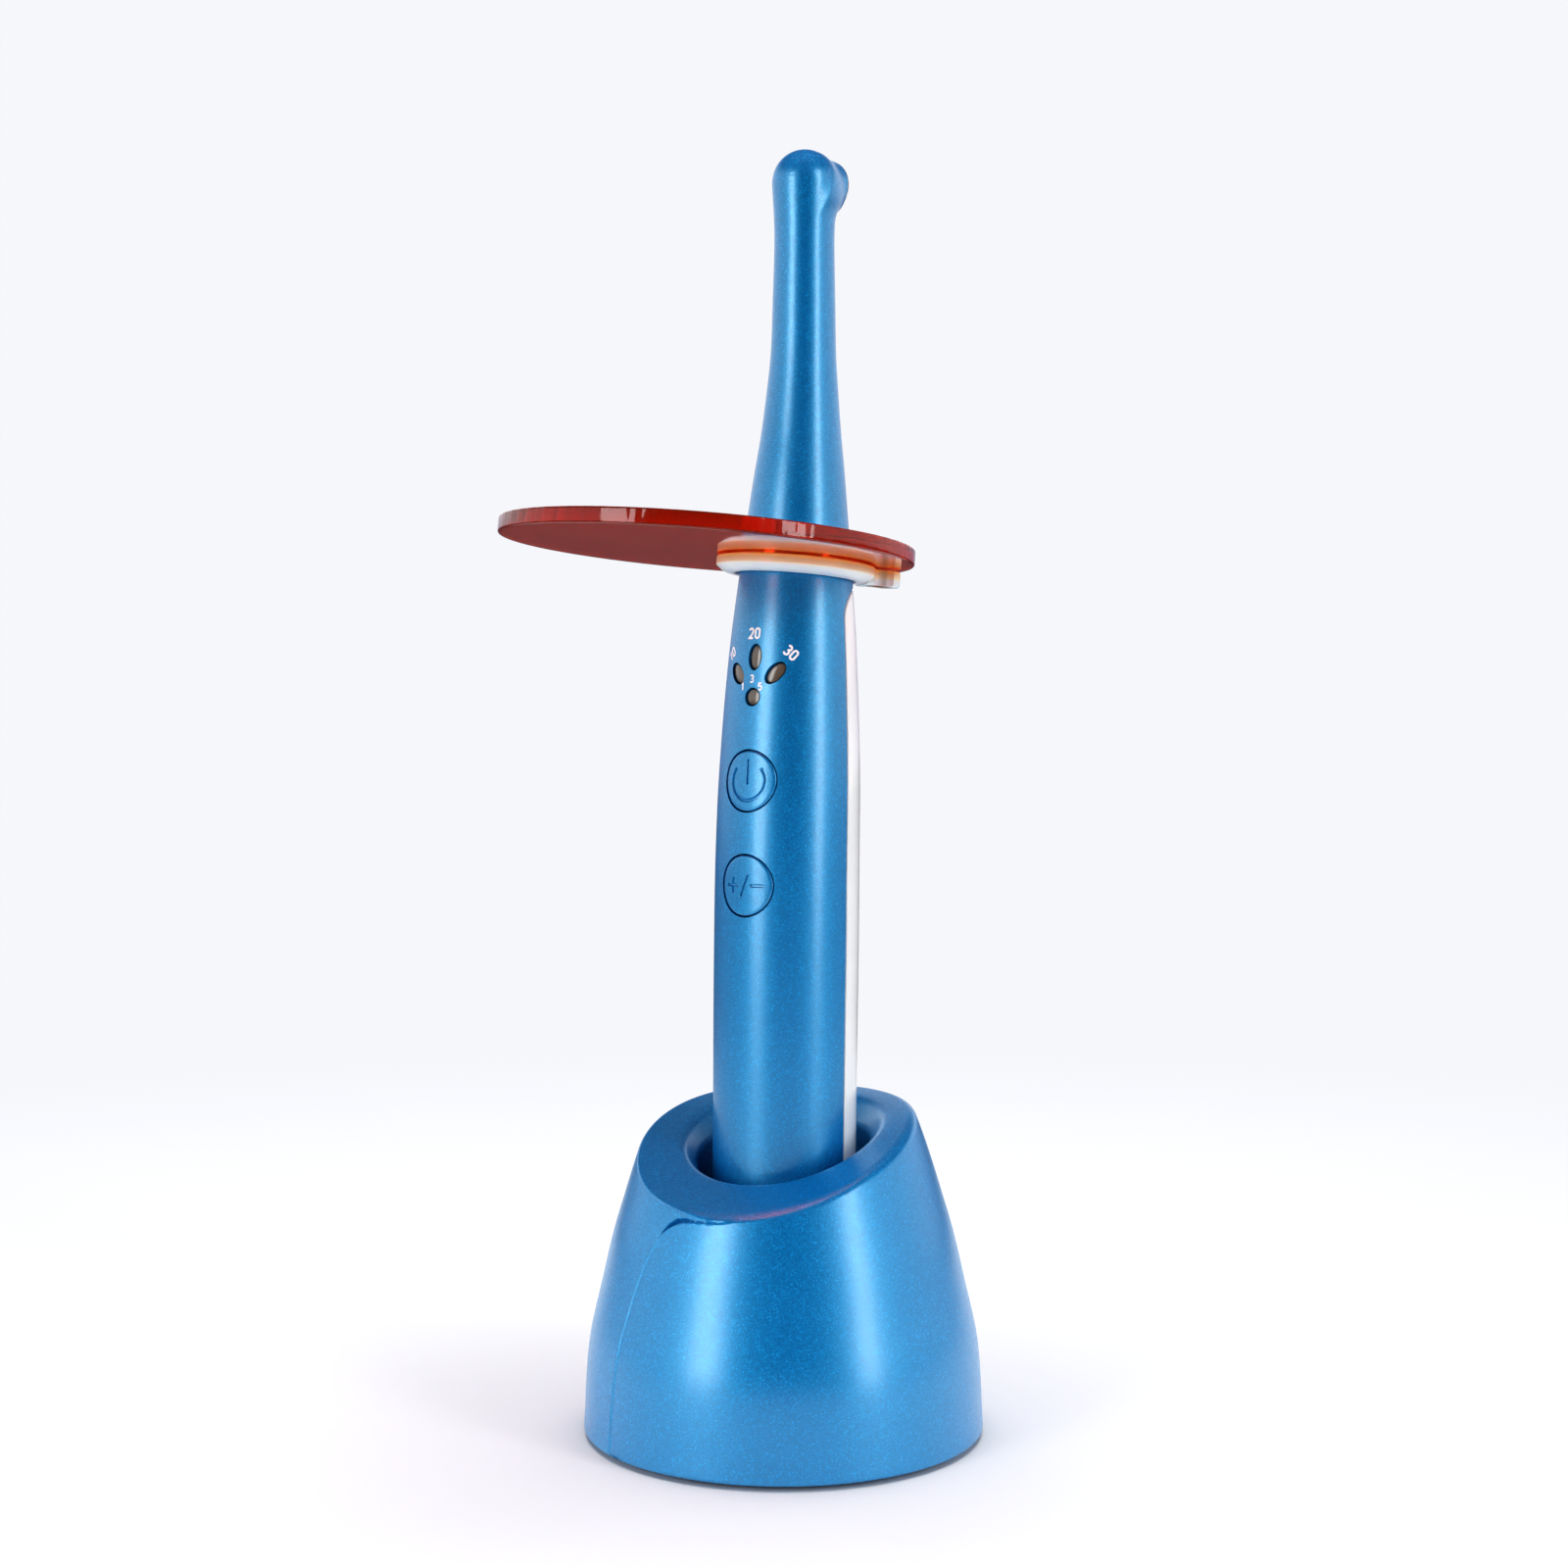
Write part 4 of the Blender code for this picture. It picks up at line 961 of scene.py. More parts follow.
# --------------------------------------------------------- indicator windows
def build_windows():
    meshes = [box_mesh("guide", (-4.9, -7.6, 141.0), (4.9, -6.8, 152.2))]
    for x0, z0, a, b, tilt in WINDOWS:
        steps = 64
        rings = []
        for share in list(np.linspace(0.12, 0.86, 8)) + [0.91, 0.95, 0.98, 1.0]:
            outline = np.array(ellipse(x0, z0, a * share, b * share, tilt, steps))
            x, z = outline[:, 0], outline[:, 1]
            y = bend(z) - np.sqrt(handle_r(z) ** 2 - x**2) + 0.30 + 0.16 * share**2
            y += edge_drop(np.full(steps, (1 - share) * a), 0.16)
            rings.append(np.stack([x, y, z], 1))
        outline = np.array(ellipse(x0, z0, a, b, tilt, steps))
        rings.append(np.stack([outline[:, 0], np.full(steps, -7.3), outline[:, 1]], 1))
        n = len(rings)
        verts = np.concatenate(rings)
        faces = grid_faces(n, steps, 0, True)
        centre = len(verts)
        y0 = float(bend(z0) - math.sqrt(handle_r(z0) ** 2 - x0 * x0)) + 0.30
        verts = np.concatenate([verts, [[x0, y0, z0], [x0, -7.3, z0]]])
        for k in range(steps):
            m = (k + 1) % steps
            faces.append((k, m, centre))
            faces.append(((n - 1) * steps + k, (n - 1) * steps + m, centre + 1))
        meshes.append(mesh_from("window", verts, faces))
    return link("indicator_window_look", joined("indicator_window_look", meshes))


place(build_windows(), "handpiece", SMOKED, ["indicator_window"], HAND, 45)


# -------------------------------------------------------------- dial numbers
def arc(cx, cy, rx, ry, start, end, n=14):
    return [(cx + rx * math.cos(math.radians(start + (end - start) * k / n)),
             cy + ry * math.sin(math.radians(start + (end - start) * k / n))) for k in range(n + 1)]


# each digit is one pen stroke in a box 1 high, with its width
DIGITS = {
    "0": (arc(0, 0.25, 0.25, 0.25, 0, 180, 16) + arc(0, -0.25, 0.25, 0.25, 180, 360, 16)[:-1], True, 0.50),
    "1": ([(-0.19, 0.27), (0.03, 0.5), (0.03, -0.5)], False, 0.34),
    "2": (arc(0, 0.23, 0.25, 0.27, 165, -28, 14) + [(0.02, -0.24), (-0.27, -0.5), (0.28, -0.5)], False, 0.54),
    "3": (arc(-0.01, 0.255, 0.24, 0.245, 150, -80, 14) + arc(-0.01, -0.235, 0.26, 0.265, 80, -150, 14), False, 0.54),
    "5": ([(0.24, 0.5), (-0.19, 0.5), (-0.235, 0.07)] + arc(-0.01, -0.18, 0.27, 0.31, 128, -150, 16), False, 0.54),
}


def number_mesh(text, size, theta0, z0, turn, weight):
    """Digits as flat ribbons of ink that follow the round of the handle."""
    widths = [DIGITS[c][2] for c in text]
    spacing = 0.30
    total = sum(widths) + spacing * (len(text) - 1)
    c, s = math.cos(math.radians(turn)), math.sin(math.radians(turn))
    x = -total / 2
    meshes = []
    for char, width in zip(text, widths):
        points, closed, _ = DIGITS[char]
        pen = np.array(points, float) + [x + width / 2, 0.0]
        x += width + spacing
        pen *= size
        fine = []
        count = len(pen)
        for i in range(count if closed else count - 1):
            a, b = pen[i], pen[(i + 1) % count]
            steps = max(1, int(np.linalg.norm(b - a) / 0.25))
            fine += [a + (b - a) * k / steps for k in range(steps)]
        if not closed:
            fine.append(pen[-1])
        pen = np.array(fine)
        before = np.roll(pen, 1, 0)
        after = np.roll(pen, -1, 0)
        if not closed:
            before[0], after[-1] = pen[0] * 2 - pen[1], pen[-1] * 2 - pen[-2]
        d1, d2 = pen - before, after - pen
        d1 /= np.linalg.norm(d1, axis=1)[:, None]
        d2 /= np.linalg.norm(d2, axis=1)[:, None]
        along = d1 + d2
        along /= np.maximum(np.linalg.norm(along, axis=1), 1e-6)[:, None]
        across = np.stack([-along[:, 1], along[:, 0]], 1)
        stretch = np.clip(1 / np.maximum(0.4, (across * np.stack([-d1[:, 1], d1[:, 0]], 1)).sum(1)), 1, 1.6)
        verts = []
        for k in range(len(pen)):
            for side, lift in ((1, -0.05), (1, 0.03), (-1, 0.03), (-1, -0.05)):
                u, w = pen[k] + across[k] * side * weight / 2 * stretch[k]
                u, w = u * c + w * s, -u * s + w * c
                z = z0 + w
                r = float(handle_r(z))
                theta = math.radians(theta0) + u / r
                verts.append(((r + lift) * math.sin(theta), float(bend(z)) - (r + lift) * math.cos(theta), z))
        n = len(pen)
        faces = []
        for k in range(n if closed else n - 1):
            m = (k + 1) % n
            faces += [(4 * k + j, 4 * k + (j + 1) % 4, 4 * m + (j + 1) % 4, 4 * m + j) for j in range(4)]
        if not closed:
            faces += [(0, 1, 2, 3), tuple(4 * (n - 1) + j for j in range(4))]
        meshes.append(mesh_from("number", verts, faces))
    return joined("number", meshes)


numbers = link("dial_numbers", joined("dial_numbers", [
    number_mesh("20", 1.85, -2.8, 155.2, 0, 0.42),
    number_mesh("30", 1.85, 33.5, 151.4, 40, 0.42),
    number_mesh("10", 1.85, -33.5, 151.4, -40, 0.42),
    number_mesh("3", 1.35, -1.5, 146.4, 0, 0.32),
    number_mesh("1", 1.35, -11.5, 144.9, 0, 0.32),
    number_mesh("5", 1.35, 7.2, 144.9, 0, 0.32),
]))
place(numbers, "handpiece", PRINT, (), HAND, 40)

# ------------------------------------------------------------------ tail cap
tail = link("tail_cap_look", turned_mesh("tail_cap_look", rounded(
    [(0, 20.6), (11.6, 20.6), (11.6, 18.0), (13.4, 18.0), (13.3, 15.2), (12.7, 13.6), (10.9, TAIL_Z), (0, TAIL_Z)],
    [0, 0.3, 0.1, 0.25, 0.9, 0.9, 0.6, 0], 5), 96, lambda z: -0.24))
cuts = []
for side in (-1, 1):
    for (x, y, r, z0, z1) in ((side * PIN_X, -0.2, 2.9, 11.0, 21.5), (0, side * 7.6 - 0.2, 1.9, 11.0, 14.6)):
        bm = bmesh.new()
        bmesh.ops.create_cone(bm, cap_ends=True, segments=40, radius1=r * MM, radius2=r * MM, depth=(z1 - z0) * MM,
                              matrix=Matrix.Translation((x * MM, y * MM, (z0 + z1) / 2 * MM)))
        m = bpy.data.meshes.new("bore")
        bm.to_mesh(m)
        bm.free()
        cuts.append(m)
boolean(tail, cuts)
cuts = []
for side in (-1, 1):
    bm = bmesh.new()
    bmesh.ops.create_cone(bm, cap_ends=True, segments=24, radius1=1.2 * MM, radius2=1.2 * MM, depth=8.5 * MM,
                          matrix=Matrix.Translation((0, (side * 7.6 - 0.2) * MM, 17.2 * MM)))
    m = bpy.data.meshes.new("bore")
    bm.to_mesh(m)
    bm.free()
    cuts.append(m)
boolean(tail, cuts)
place(tail, "handpiece", BLUE, ["tail_cap"], HAND, 35)

# ------------------------------------------------------------- lens and ring
FORWARD = HAND @ Matrix.Translation((0, 0, NOZZLE_Z * MM)) @ Matrix.Rotation(math.radians(-90), 4, "X")
lens_ring = link("lens_ring_look", turned_mesh("lens_ring_look", rounded(
    [(4.8, 12.9), (NOZZLE_R, 12.62), (NOZZLE_R, 12.3), (3.95, 12.3), (3.95, 9.3), (3.85, 9.3), (3.85, 12.9)],
    [0.12, 0.12, 0.05, 0.0, 0.0, 0.0, 0.1], 4), 96))
place(lens_ring, "handpiece", WHITE, ["lens_ring"], FORWARD, 40)
dome = [(0.0, 12.55)] + [(3.55 * math.sin(math.radians(a)), 11.75 + 0.8 * math.cos(math.radians(a))) for a in range(6, 91, 6)]
lens = link("lens_look", turned_mesh("lens_look", dome + [(3.55, 9.75), (3.4, 9.62), (2.2, 9.4), (0.0, 9.4)], 72))
place(lens, "handpiece", LENS, ["lens"], FORWARD, 50)


# -------------------------------------------------------------------- shield
def build_ring():
    outline = rounded(
        [(11.1, 4.6), (14.6, 4.6), (15.1, 4.15), (15.1, 3.4), (13.3, 3.4), (13.3, -0.3), (RING_R, -0.3),
         (RING_R, -1.95), (14.2, -3.1), (12.6, -3.4), (11.9, -3.4), (11.5, 0)],
        [0.25, 0.35, 0.3, 0.12, 0.15, 0.1, 0.12, 0.14, 0.9, 0.5, 0.25, 1.0], 4)
    ring = link("shield_ring_look", turned_mesh("shield_ring_look", outline, 144))
    out = Vector((-DISC_CENTRE[0], -DISC_CENTRE[1], 0)).normalized()
    heading = Matrix.Rotation(math.atan2(out.y, out.x), 4, "Z")
    # the tab: a rounded stadium with softened upper and lower edges and a waist at its root
    flat = [(13.9, -4.2), (LUG_REACH - 4.2, -4.2)]
    for k in range(1, 24):
        a = -math.pi / 2 + math.pi * k / 24
        flat.append((LUG_REACH - 4.2 + 4.2 * math.cos(a), 4.2 * math.sin(a)))
    flat += [(LUG_REACH - 4.2, 4.2), (13.9, 4.2)]
    n = len(flat)
    centre = np.array([16.5, 0.0])
    levels = [(-3.4, 0.45), (-3.32, 0.2), (-3.1, 0.04), (-2.9, 0.0), (-2.55, 0.0), (-2.45, 0.06), (-2.35, 0.0), (-0.5, 0.0), (-0.38, 0.05), (-0.3, 0.18)]
    verts = []
    for z, inset in levels:
        for x, y in flat:
            d = np.array([x, y]) - centre
            d = d / np.linalg.norm(d) * inset
            verts.append((x - (d[0] if x > 14 else 0), y - d[1], z))
    faces = grid_faces(len(levels), n, 0, True)
    faces += [tuple(range(n)), tuple(range((len(levels) - 1) * n, len(levels) * n))]
    tab = mesh_from("tab", verts, faces)
    tab.transform(heading)
    boolean(ring, [tab], "UNION")
    cuts = []
    for x, y, r in ((17.3, 0.0, 1.1), (17.3, 4.7, 2.2), (17.3, -4.7, 2.2)):
        bm = bmesh.new()
        bmesh.ops.create_cone(bm, cap_ends=True, segments=48, radius1=r * MM, radius2=r * MM, depth=8 * MM,
                              matrix=heading @ Matrix.Translation((x * MM, y * MM, -1.9 * MM)))
        m = bpy.data.meshes.new("hole")
        bm.to_mesh(m)
        bm.free()
        cuts.append(m)
    boolean(ring, cuts)
    return ring


place(build_ring(), "shield_ring", SILICONE, ["shield_ring"], SHIELD, 38)


def build_disc():
    """The disc is turned about its own middle and its round opening lies off it, so it is lofted between the two circles."""
    steps = 480
    rim = rounded([(DISC_R - 3, 0.0), (DISC_R, 0.0), (DISC_R, DISC_T), (DISC_R - 3, DISC_T)], [0, 0.45, 0.45, 0], 6, False)
    rings = []
    angle = 2 * np.pi * np.arange(steps) / steps
    c = np.array(DISC_CENTRE)

    def hole_ring(r, z):
        return np.stack([r * np.cos(angle), r * np.sin(angle), np.full(steps, z)], 1)

    def rim_ring(r, z):
        return np.stack([c[0] + r * np.cos(angle), c[1] + r * np.sin(angle), np.full(steps, z)], 1)

    low = hole_ring(DISC_HOLE_R + 0.15, 0.0)
    rings.append(hole_ring(DISC_HOLE_R, 0.15))
    rings.append(low)
    first = rim_ring(DISC_R - 0.9, 0.0)
    for t in (0.08, 0.2, 0.4, 0.6, 0.8):
        rings.append(low * (1 - t) + first * t)
    rings.append(first)
    # the sawn edge keeps fine marks, deepest along its upper arris
    marks = 0.5 + 0.5 * np.sin(97 * angle + 1.3 * np.sin(13 * angle)) * np.sin(41 * angle + 0.7)
    for r, z in rim[1:-1]:
        rings.append(rim_ring(r - (0.03 + 0.09 * (z > DISC_T - 0.5)) * marks, z))
    last = rim_ring(DISC_R - 0.9, DISC_T)
    high = hole_ring(DISC_HOLE_R + 0.15, DISC_T)
    rings.append(last)
    for t in (0.8, 0.6, 0.4, 0.2, 0.08):
        rings.append(high * (1 - t) + last * t)
    rings.append(high)
    rings.append(hole_ring(DISC_HOLE_R, DISC_T - 0.15))
    n = len(rings)
    faces = grid_faces(n, steps, 0, True)
    for k in range(steps):
        m = (k + 1) % steps
        faces.append(((n - 1) * steps + k, (n - 1) * steps + m, m, k))
    return link("shield_disc_look", mesh_from("shield_disc_look", np.concatenate(rings), faces))


place(build_disc(), "shield_disc", ORANGE, ["shield_disc"], SHIELD, 35)

# ---------------------------------------------------------------------- base
SEAM = np.array([  # angle from -Y towards +X, height, recess, groove depth, groove width
    (30.0, 47.75, 0.0, 0.0, 0.5), (22.25, 46.9, 0.04, 0.10, 0.5), (16.4, 46.2, 0.10, 0.22, 0.5),
    (12.8, 45.95, 0.14, 0.26, 0.5), (7.1, 45.71, 0.22, 0.32, 0.5), (3.1, 45.64, 0.30, 0.42, 0.55),
    (-0.96, 45.42, 0.45, 0.85, 0.9), (-4.2, 44.85, 0.60, 1.15, 1.25), (-7.0, 43.95, 0.75, 1.15, 1.25),
    (-9.5, 42.81, 0.80, 0.75, 0.95), (-10.86, 41.9, 0.80, 0.45, 0.8), (-12.39, 40.3, 0.78, 0.20, 0.7),
    (-14.03, 38.5, 0.74, 0.1, 0.6), (-15.55, 36.0, 0.70, 0.05, 0.5), (-16.86, 33.5, 0.66, 0.0, 0.5),
    (-18.06, 30.5, 0.62, 0.0, 0.5), (-20.14, 23.13, 0.55, 0.0, 0.5), (-21.08, 11.88, 0.48, 0.0, 0.5),
    (-21.6, 5.59, 0.44, 0.0, 0.5), (-21.8, -2.0, 0.42, 0.0, 0.5),
])
RIM_ROUND = [  # angle, rounding down the side, rounding in over the top
    (-180, 0.9, 0.9), (-130, 0.6, 0.6), (-30, 0.5, 0.5), (-3, 0.5, 0.5), (2, 0.6, 0.9), (6, 0.7, 2.2),
    (15, 0.7, 3.2), (30, 0.8, 3.0), (45, 1.1, 2.4), (70, 1.5, 1.9), (110, 1.6, 1.7), (150, 1.2, 1.2), (180, 0.9, 0.9),
]


def base_top(r, angle, rim_r):
    slope = math.tan(math.radians(TOP_SLOPE_DEG))
    saddle = TOP_SADDLE * (r / rim_r) ** 2 * np.cos(2 * (angle - math.radians(TOP_SADDLE_DEG)))
    return TOP_MID_Z - slope * r * np.cos(angle - math.radians(TOP_LOW_DEG)) - saddle


def seam_angle(z):
    order = np.argsort(SEAM[10:, 1])
    return np.interp(z, SEAM[10:, 1][order], SEAM[10:, 0][order])


def seam_relief(angle_deg, z):
    """Depth to which the side is sunk beyond the raised front panel's edge."""
    points = np.stack([np.radians(angle_deg) * 33.0, z], 1)
    path = np.stack([np.radians(SEAM[:, 0]) * 33.0, SEAM[:, 1]], 1)
    best = np.full(len(points), 1e9)
    side = np.zeros(len(points))
    facts = np.zeros((len(points), 3))
    for i in range(len(path) - 1):
        a, b = path[i], path[i + 1]
        ab = b - a
        t = np.clip(((points - a) @ ab) / (ab @ ab), 0, 1)
        gap = points - (a + t[:, None] * ab)
        d = np.linalg.norm(gap, axis=1)
        closer = d < best
        # the path runs left and then down, so the sunk side lies on its right
        cross = ab[0] * gap[:, 1] - ab[1] * gap[:, 0]
        best = np.where(closer, d, best)
        side = np.where(closer, -np.sign(cross), side)
        values = SEAM[i, 2:] * (1 - t[:, None]) + SEAM[i + 1, 2:] * t[:, None]
        facts = np.where(closer[:, None], values, facts)
    recess, groove, width = facts.T
    d = best * side
    step = recess * smooth(0.0, 0.34, d) * np.exp(-(np.maximum(d - 0.8, 0) / 7.0) ** 2)
    below = 1 - smooth(43.2, 45.2, points[:, 1])
    bead = -0.24 * below * np.exp(-((d + 0.24) / 0.28) ** 2)
    line = 0.55 * below * np.exp(-((d - 0.44) / 0.27) ** 2)
    channel = groove * np.sin(np.pi * np.clip((d + 0.1) / width, 0, 1)) ** 1.3
    return step + bead + line + channel


def build_base():
    ref = -15.0
    angles = np.concatenate([
        np.arange(-180, -50, 1.5), np.arange(-50, -27, 0.7), np.arange(-27, -17, 0.35), np.arange(-17, -13, 0.14),
        np.arange(-13, 8, 0.33), np.arange(8, 36, 0.7), np.arange(36, 180, 1.5),
    ])
    n_a = len(angles)
    a0 = np.radians(angles)
    rim_z = np.full(n_a, TOP_MID_Z)
    for _ in range(80):
        rim_z = (rim_z + base_top(base_r(rim_z), a0, base_r(rim_z))) / 2
    rim_r = base_r(rim_z)
    marks = np.array(RIM_ROUND, float)
    down = np.interp(angles, marks[:, 0], marks[:, 1])
    inward = np.interp(angles, marks[:, 0], marks[:, 2])
    foot = 1.0
    rows = []

    def add(r, z, a=a0):
        rows.append(np.stack([r * np.sin(a), -r * np.cos(a), z], 1))

    def side(z):
        """Row on the outer wall, drawn towards the seam and sunk beyond it."""
        pull = (1 - smooth(41.0, 45.0, z)) * np.maximum(0, 1 - np.abs(angles - ref) / 13.0)
        deg = angles + (seam_angle(z) - ref) * pull
        a = np.radians(deg)
        dz = 0.05
        slope = (base_r(z + dz) - base_r(z - dz)) / (2 * dz)
        depth = seam_relief(deg, z)
        fade = smooth(foot - 0.5, foot + 1.5, z)
        norm = np.sqrt(1 + slope**2)
        r = base_r(z) - depth * fade / norm
        add(r, z + depth * fade * slope / norm, a)

    # outer wall, from a softened foot to the rim
    add(base_r(foot) - 0.45, np.full(n_a, foot))
    add(base_r(foot + 0.1) - 0.16, np.full(n_a, foot + 0.08))
    add(base_r(foot + 0.3) - 0.03, np.full(n_a, foot + 0.25))
    dense = 9.0
    low_end = rim_z - dense
    for v in np.linspace(0, 1, 30)[:-1]:
        side(foot + 0.6 + (low_end - foot - 0.6) * v)
    for s in steps_between(dense, 0.0, 0.26):
        side(rim_z - down - s * (dense - down) / dense)
    # rounding over the rim
    start_z = rim_z - down
    for k in range(0, 10):
        t = k / 9
        sr, sz = base_r(start_z), start_z
        er = rim_r - inward
        ez = base_top(er, a0, rim_r)
        r = (1 - t) ** 2 * sr + 2 * t * (1 - t) * rim_r + t * t * er
        z = (1 - t) ** 2 * sz + 2 * t * (1 - t) * rim_z + t * t * ez
        relief = seam_relief(angles, z) * (1 - t) ** 2
        add(r - relief, z)
    # top face; the crown towards the front is left at zero height
    crown = 0.0 * np.exp(-((angles - 20) / 45.0) ** 2)
    lip_r = WELL_R + 5.0
    for t in np.linspace(0, 1, 14)[1:-1]:
        r = (rim_r - inward) * (1 - t) + lip_r * t
        add(r, base_top(r, a0, rim_r) + crown * np.sin(np.pi * t) ** 2)
    # the opening: a soft shoulder, a short slope and a fine inner edge
    lip = rounded([(WELL_R + 5.0, 0.0), (WELL_R + 2.6, -0.1), (WELL_R + 0.35, -3.3), (WELL_R, -4.4), (WELL_R, -9.0)],
                  [0, 1.9, 0.45, 0.5, 0], 7, False)
    for r, drop in lip:
        add(np.full(n_a, r), base_top(r, a0, rim_r) + drop)
    z_low = base_top(WELL_R, a0, rim_r) - 9.0
    for t in (0.3, 0.65, 1.0):
        add(np.full(n_a, WELL_R), z_low * (1 - t) + WELL_END_Z * t)
    add(np.full(n_a, WELL_TUBE_R), np.full(n_a, WELL_END_Z))
    add(np.full(n_a, WELL_TUBE_R), base_top(WELL_TUBE_R, a0, rim_r) - 6.5)
    add(np.full(n_a, 22.3), base_top(22.3, a0, rim_r) - 3.0)
    roof = rim_z - 4.2
    for u in np.linspace(1, 0, 14):
        z = foot + (roof - foot) * u
        add(base_r(z) - BASE_WALL, z)
    n = len(rows)
    faces = grid_faces(n, n_a, 0, True)
    for k in range(n_a):
        m = (k + 1) % n_a
        faces.append(((n - 1) * n_a + k, (n - 1) * n_a + m, m, k))
    obj = link("base_shell_look", mesh_from("base_shell_look", np.concatenate(rows), faces))
    slot_outline = rounded([(-5.1, USB_Z - 2.2), (5.1, USB_Z - 2.2), (5.1, USB_Z + 2.2), (-5.1, USB_Z + 2.2)], 2.0, 8)
    boolean(obj, [extruded_mesh("inlet", slot_outline, 30.0, 45.0)])
    return obj


place(build_base(), "base", BLUE, ["base_shell"], None, 40)

cup = link("cradle_cup_look", turned_mesh("cradle_cup_look", rounded(
    [(15.0, 25.6), (19.0, 25.6), (19.0, 23.8), (16.7, 23.8), (16.2, 5.6), (14.9, 5.6), (14.9, 10.0), (0.0, 10.0),
     (0.0, 12.1), (14.5, 12.1), (14.7, 14.0)], [0.35, 0.2, 0.2, 0.3, 0.2, 0.2, 0.3, 0, 0, 0.4, 0.2], 4), 96))
cuts = []
for side in (-1, 1):
    bm = bmesh.new()
    bmesh.ops.create_cone(bm, cap_ends=True, segments=32, radius1=(PIN_R + 0.35) * MM, radius2=(PIN_R + 0.35) * MM,
                          depth=4 * MM, matrix=Matrix.Translation((side * PIN_X * MM, 0, 11 * MM)))
    m = bpy.data.meshes.new("bore")
    bm.to_mesh(m)
    bm.free()
    cuts.append(m)
boolean(cup, cuts)
place(cup, "base", DARK, ["cradle_cup"], None, 35)

foot_outline = [(0.0, 1.5), (35.3, 1.5), (35.6, 1.2), (35.6, 0.3), (35.3, 0.0)]
for r in (33.0, 30.0, 27.0, 24.0):
    foot_outline += [(r + 0.5, 0.0), (r + 0.3, 0.25), (r - 0.3, 0.25), (r - 0.5, 0.0)]
foot_outline += [(0.0, 0.0)]
foot = link("foot_pad_look", turned_mesh("foot_pad_look", foot_outline, 128))
place(foot, "base", RUBBER, ["foot_pad"], None, 35)

# ----------------------------------------------- materials of the kept nodes
KEPT = {
    DARK: ["base_plate", "battery_holder"],
    STEEL: ["base_weight", "power_inlet", "pin_spring_left", "pin_spring_right", "base_screw_1", "base_screw_2",
            "base_screw_3", "tail_screw_front", "tail_screw_rear"],
    GOLD: ["contact_pad_left", "contact_pad_right", "contact_pin_left", "contact_pin_right"],
    BOARD: ["charge_board", "main_board"],
    BLACK: ["power_switch", "mode_switch", "driver_coil", "controller_chip", "buzzer"],
    LIGHT: ["indicator_led_top", "indicator_led_left", "indicator_led_right", "indicator_led_centre",
            "lead_connector", "led_board"],
    EMITTER: ["led_emitter"],
    CELL: ["battery_cell"],
    SPREADER: ["heat_spreader"],
    RED: ["led_lead_red"],
    LEAD: ["led_lead_black"],
}
for mat, names in KEPT.items():
    for name in names:
        obj = nodes[name]
        obj.data.materials.clear()
        obj.data.materials.append(mat)
        for face in obj.data.polygons:
            face.material_index = 0

# ------------------------------------------------------------ floor and room
TOWARDS = Vector((0.5807, -0.8141, 0.0))
RIGHT = Vector((0.8141, 0.5807, 0.0))

bm = bmesh.new()
bmesh.ops.create_grid(bm, x_segments=1, y_segments=1, size=30.0)
floor_mesh = bpy.data.meshes.new("floor")
bm.to_mesh(floor_mesh)
bm.free()
floor = link("floor", floor_mesh)
mat, tree, shader = new_material("floor_pale")
at = coords(tree)
reach = node(tree, "ShaderNodeVectorMath", operation="LENGTH")
tree.links.new(at, reach.inputs[0])
tree.links.new(mix(tree, span(tree, reach.outputs["Value"], 0.32, 0.60, 0.0, 1.0),
                   mix(tree, span(tree, noise(tree, at, 2.0, 2.0), 0.3, 0.7, 0.0, 1.0),
                       (0.90, 0.90, 0.905), (0.885, 0.885, 0.895)), (0.05, 0.045, 0.06)), shader.inputs["Base Color"])
set_shader(shader, Roughness=0.6, Specular_IOR_Level=0.1)
# seen straight on, the floor runs out into the same pale tone as the wall behind it
even = tree.nodes.new("ShaderNodeEmission")
even.inputs["Color"].default_value = (0.775, 0.78, 0.805, 1.0)
paper = tree.nodes.new("ShaderNodeBsdfDiffuse")
paper.inputs["Color"].default_value = (0.74, 0.745, 0.765, 1.0)
sight = tree.nodes.new("ShaderNodeLightPath").outputs["Is Camera Ray"]
fade = tree.nodes.new("ShaderNodeMixShader")
tree.links.new(span(tree, reach.outputs["Value"], 0.16, 0.60, 0.0, 1.0), fade.inputs[0])
tree.links.new(paper.outputs[0], fade.inputs[1])
tree.links.new(even.outputs[0], fade.inputs[2])
choose = tree.nodes.new("ShaderNodeMixShader")
tree.links.new(sight, choose.inputs[0])
tree.links.new(shader.outputs[0], choose.inputs[1])
tree.links.new(fade.outputs[0], choose.inputs[2])
tree.links.new(choose.outputs[0], tree.nodes["Material Output"].inputs["Surface"])
floor_mesh.materials.append(mat)

world = bpy.data.worlds.new("studio")
bpy.context.scene.world = world
world.use_nodes = True
tree = world.node_tree
background = tree.nodes["Background"]
at = tree.nodes.new("ShaderNodeTexCoord").outputs["Generated"]
ahead = node(tree, "ShaderNodeVectorMath", operation="DOT_PRODUCT")
ahead.inputs[1].default_value = tuple(-TOWARDS)
tree.links.new(at, ahead.inputs[0])
height = tree.nodes.new("ShaderNodeSeparateXYZ")
tree.links.new(at, height.inputs[0])
room = ramp(tree, span(tree, ahead.outputs["Value"], -1.0, 1.0, 0.0, 1.0), [
    (0.0, (0.0, 0.0, 0.0)), (0.06, (0.01, 0.01, 0.012)), (0.22, (0.95, 0.97, 1.0)), (0.62, (1.10, 1.12, 1.15)),
    (1.0, (1.0, 1.0, 1.05))])
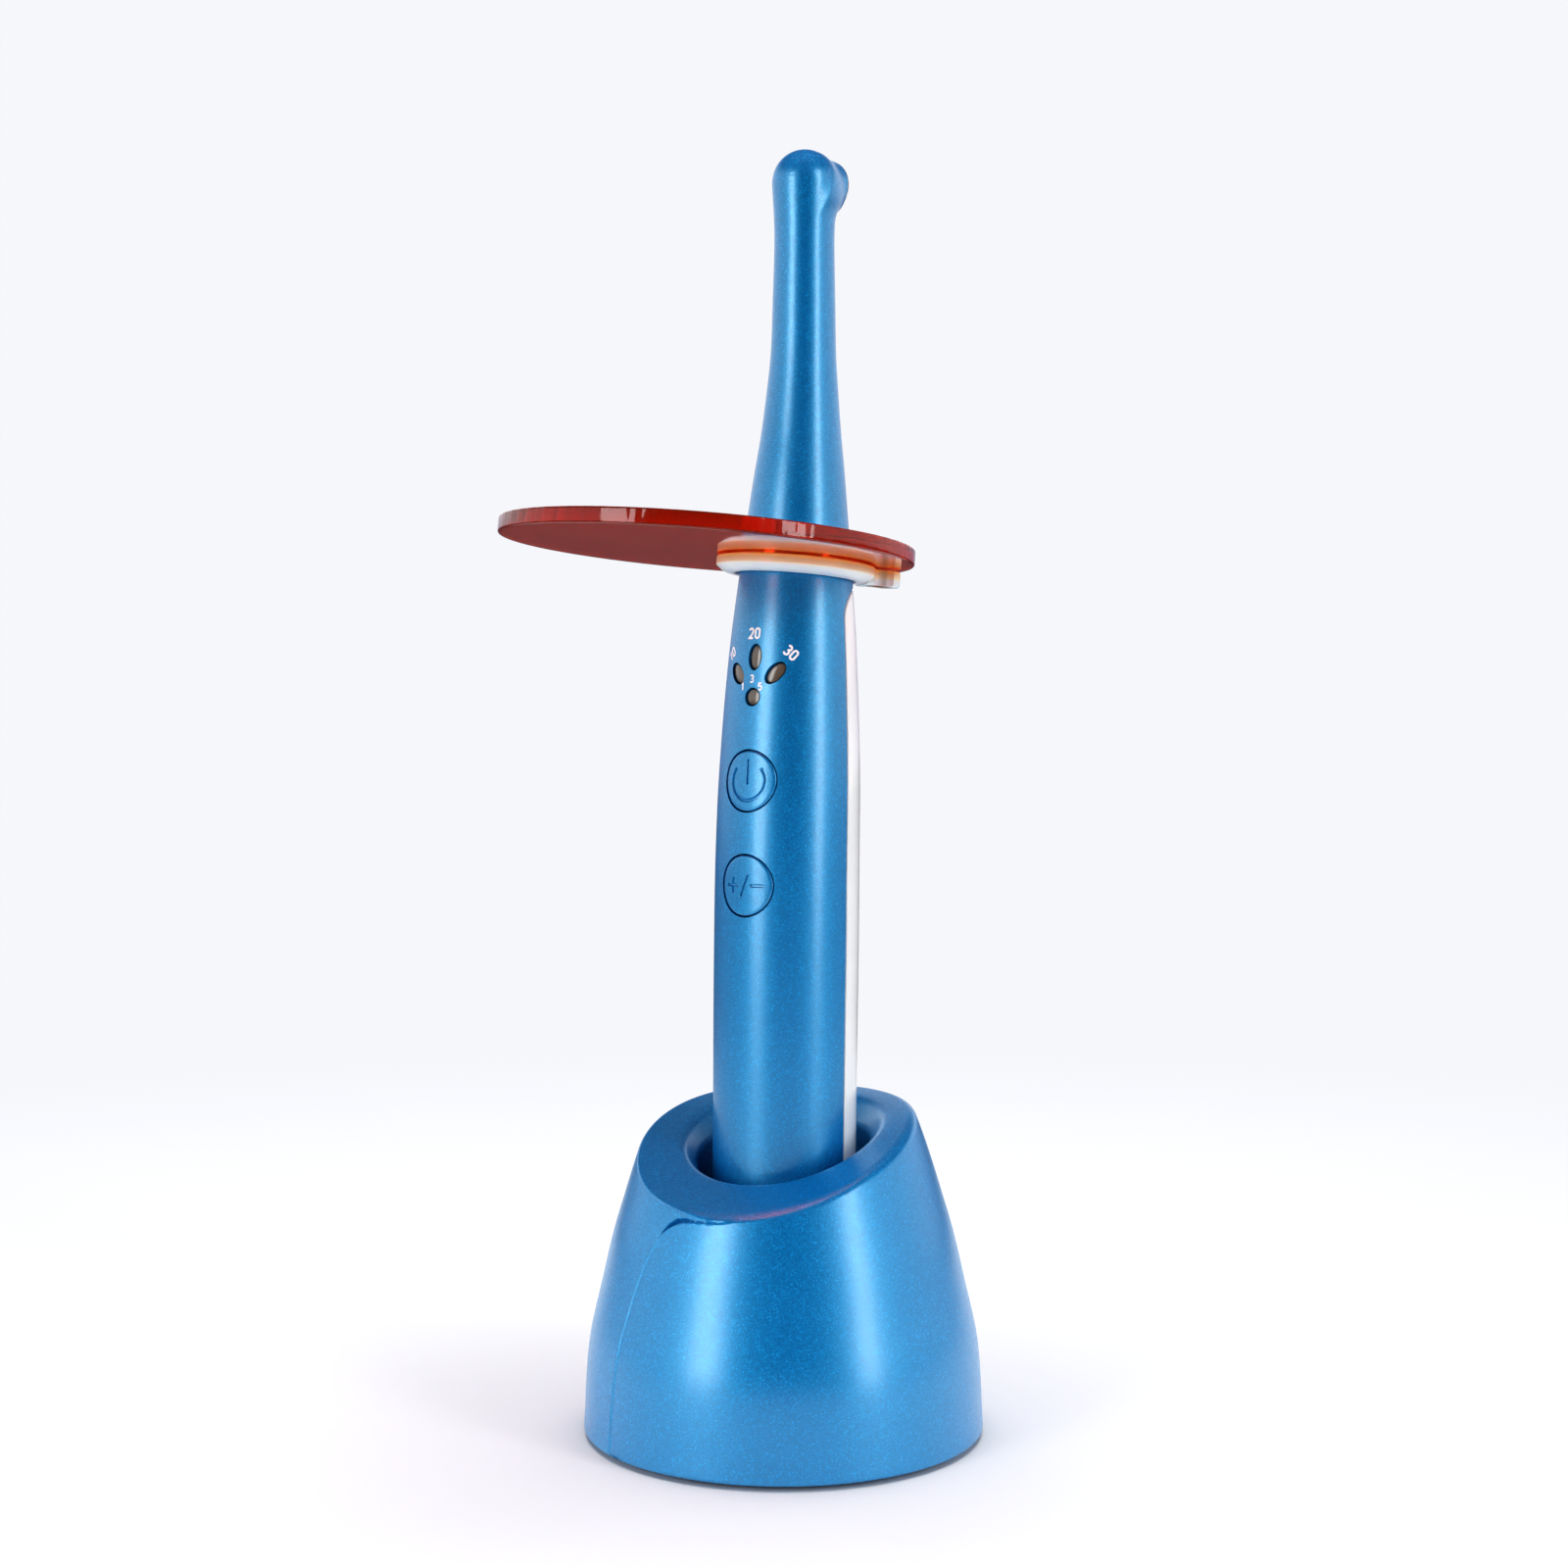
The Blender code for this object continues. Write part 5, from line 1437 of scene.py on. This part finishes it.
low = mix(tree, span(tree, ahead.outputs["Value"], 0.45, 0.9, 0.0, 1.0), (1.0, 1.0, 1.0), (0.34, 0.32, 0.42))
room = mix(tree, span(tree, height.outputs["Z"], 0.06, 0.16, 1.0, 0.0), room, mix(tree, 1.0, room, low, "MULTIPLY"))
room = mix(tree, span(tree, height.outputs["Z"], 0.36, 0.60, 0.0, 1.0), room, (0.10, 0.11, 0.13))
seen = tree.nodes.new("ShaderNodeLightPath").outputs["Is Camera Ray"]
room = mix(tree, seen, room, (0.775, 0.78, 0.805))
tree.links.new(room, background.inputs["Color"])
background.inputs["Strength"].default_value = 1.0


def softbox(name, side_deg, distance, height_m, width, tall, power, tint=(1, 1, 1)):
    data = bpy.data.lights.new(name, "AREA")
    data.shape = "RECTANGLE"
    data.size, data.size_y = width, tall
    data.energy = power
    data.color = tint
    obj = bpy.data.objects.new(name, data)
    bpy.context.scene.collection.objects.link(obj)
    a = math.radians(side_deg)
    where = (TOWARDS * math.cos(a) + RIGHT * math.sin(a)) * distance
    obj.location = (where.x, where.y, height_m)
    aim = Vector((0, 0, 0.12)) - obj.location
    obj.rotation_mode = "QUATERNION"
    obj.rotation_quaternion = aim.to_track_quat("-Z", "Y")
    return obj


softbox("soft_left", -46, 1.1, 0.30, 0.36, 0.80, 4.7)
softbox("soft_right", 50, 1.1, 0.40, 0.24, 1.0, 4.4)
top_light = softbox("soft_top", 180, 0.05, 1.5, 1.25, 1.25, 22.0)
top_light.visible_glossy = False

# -------------------------------------------------------------------- camera
camera = bpy.data.cameras.new("camera")
camera.lens = 2288 / 1600 * 36
camera.sensor_width = 36
camera.sensor_fit = "HORIZONTAL"
camera.shift_x = 0.0003
camera.shift_y = -0.0281
camera.clip_start = 0.01
camera.clip_end = 100
cam = bpy.data.objects.new("camera", camera)
bpy.context.scene.collection.objects.link(cam)
cam.location = TOWARDS * 0.440 + Vector((0, 0, 0.1347))
cam.rotation_mode = "QUATERNION"
cam.rotation_quaternion = (-TOWARDS).to_track_quat("-Z", "Y")
bpy.context.scene.camera = cam
bpy.context.scene.view_settings.view_transform = "Standard"
bpy.context.scene.view_settings.look = "Medium High Contrast"

for obj in list(scratch.objects):
    bpy.data.objects.remove(obj, do_unlink=True)
bpy.data.collections.remove(scratch)
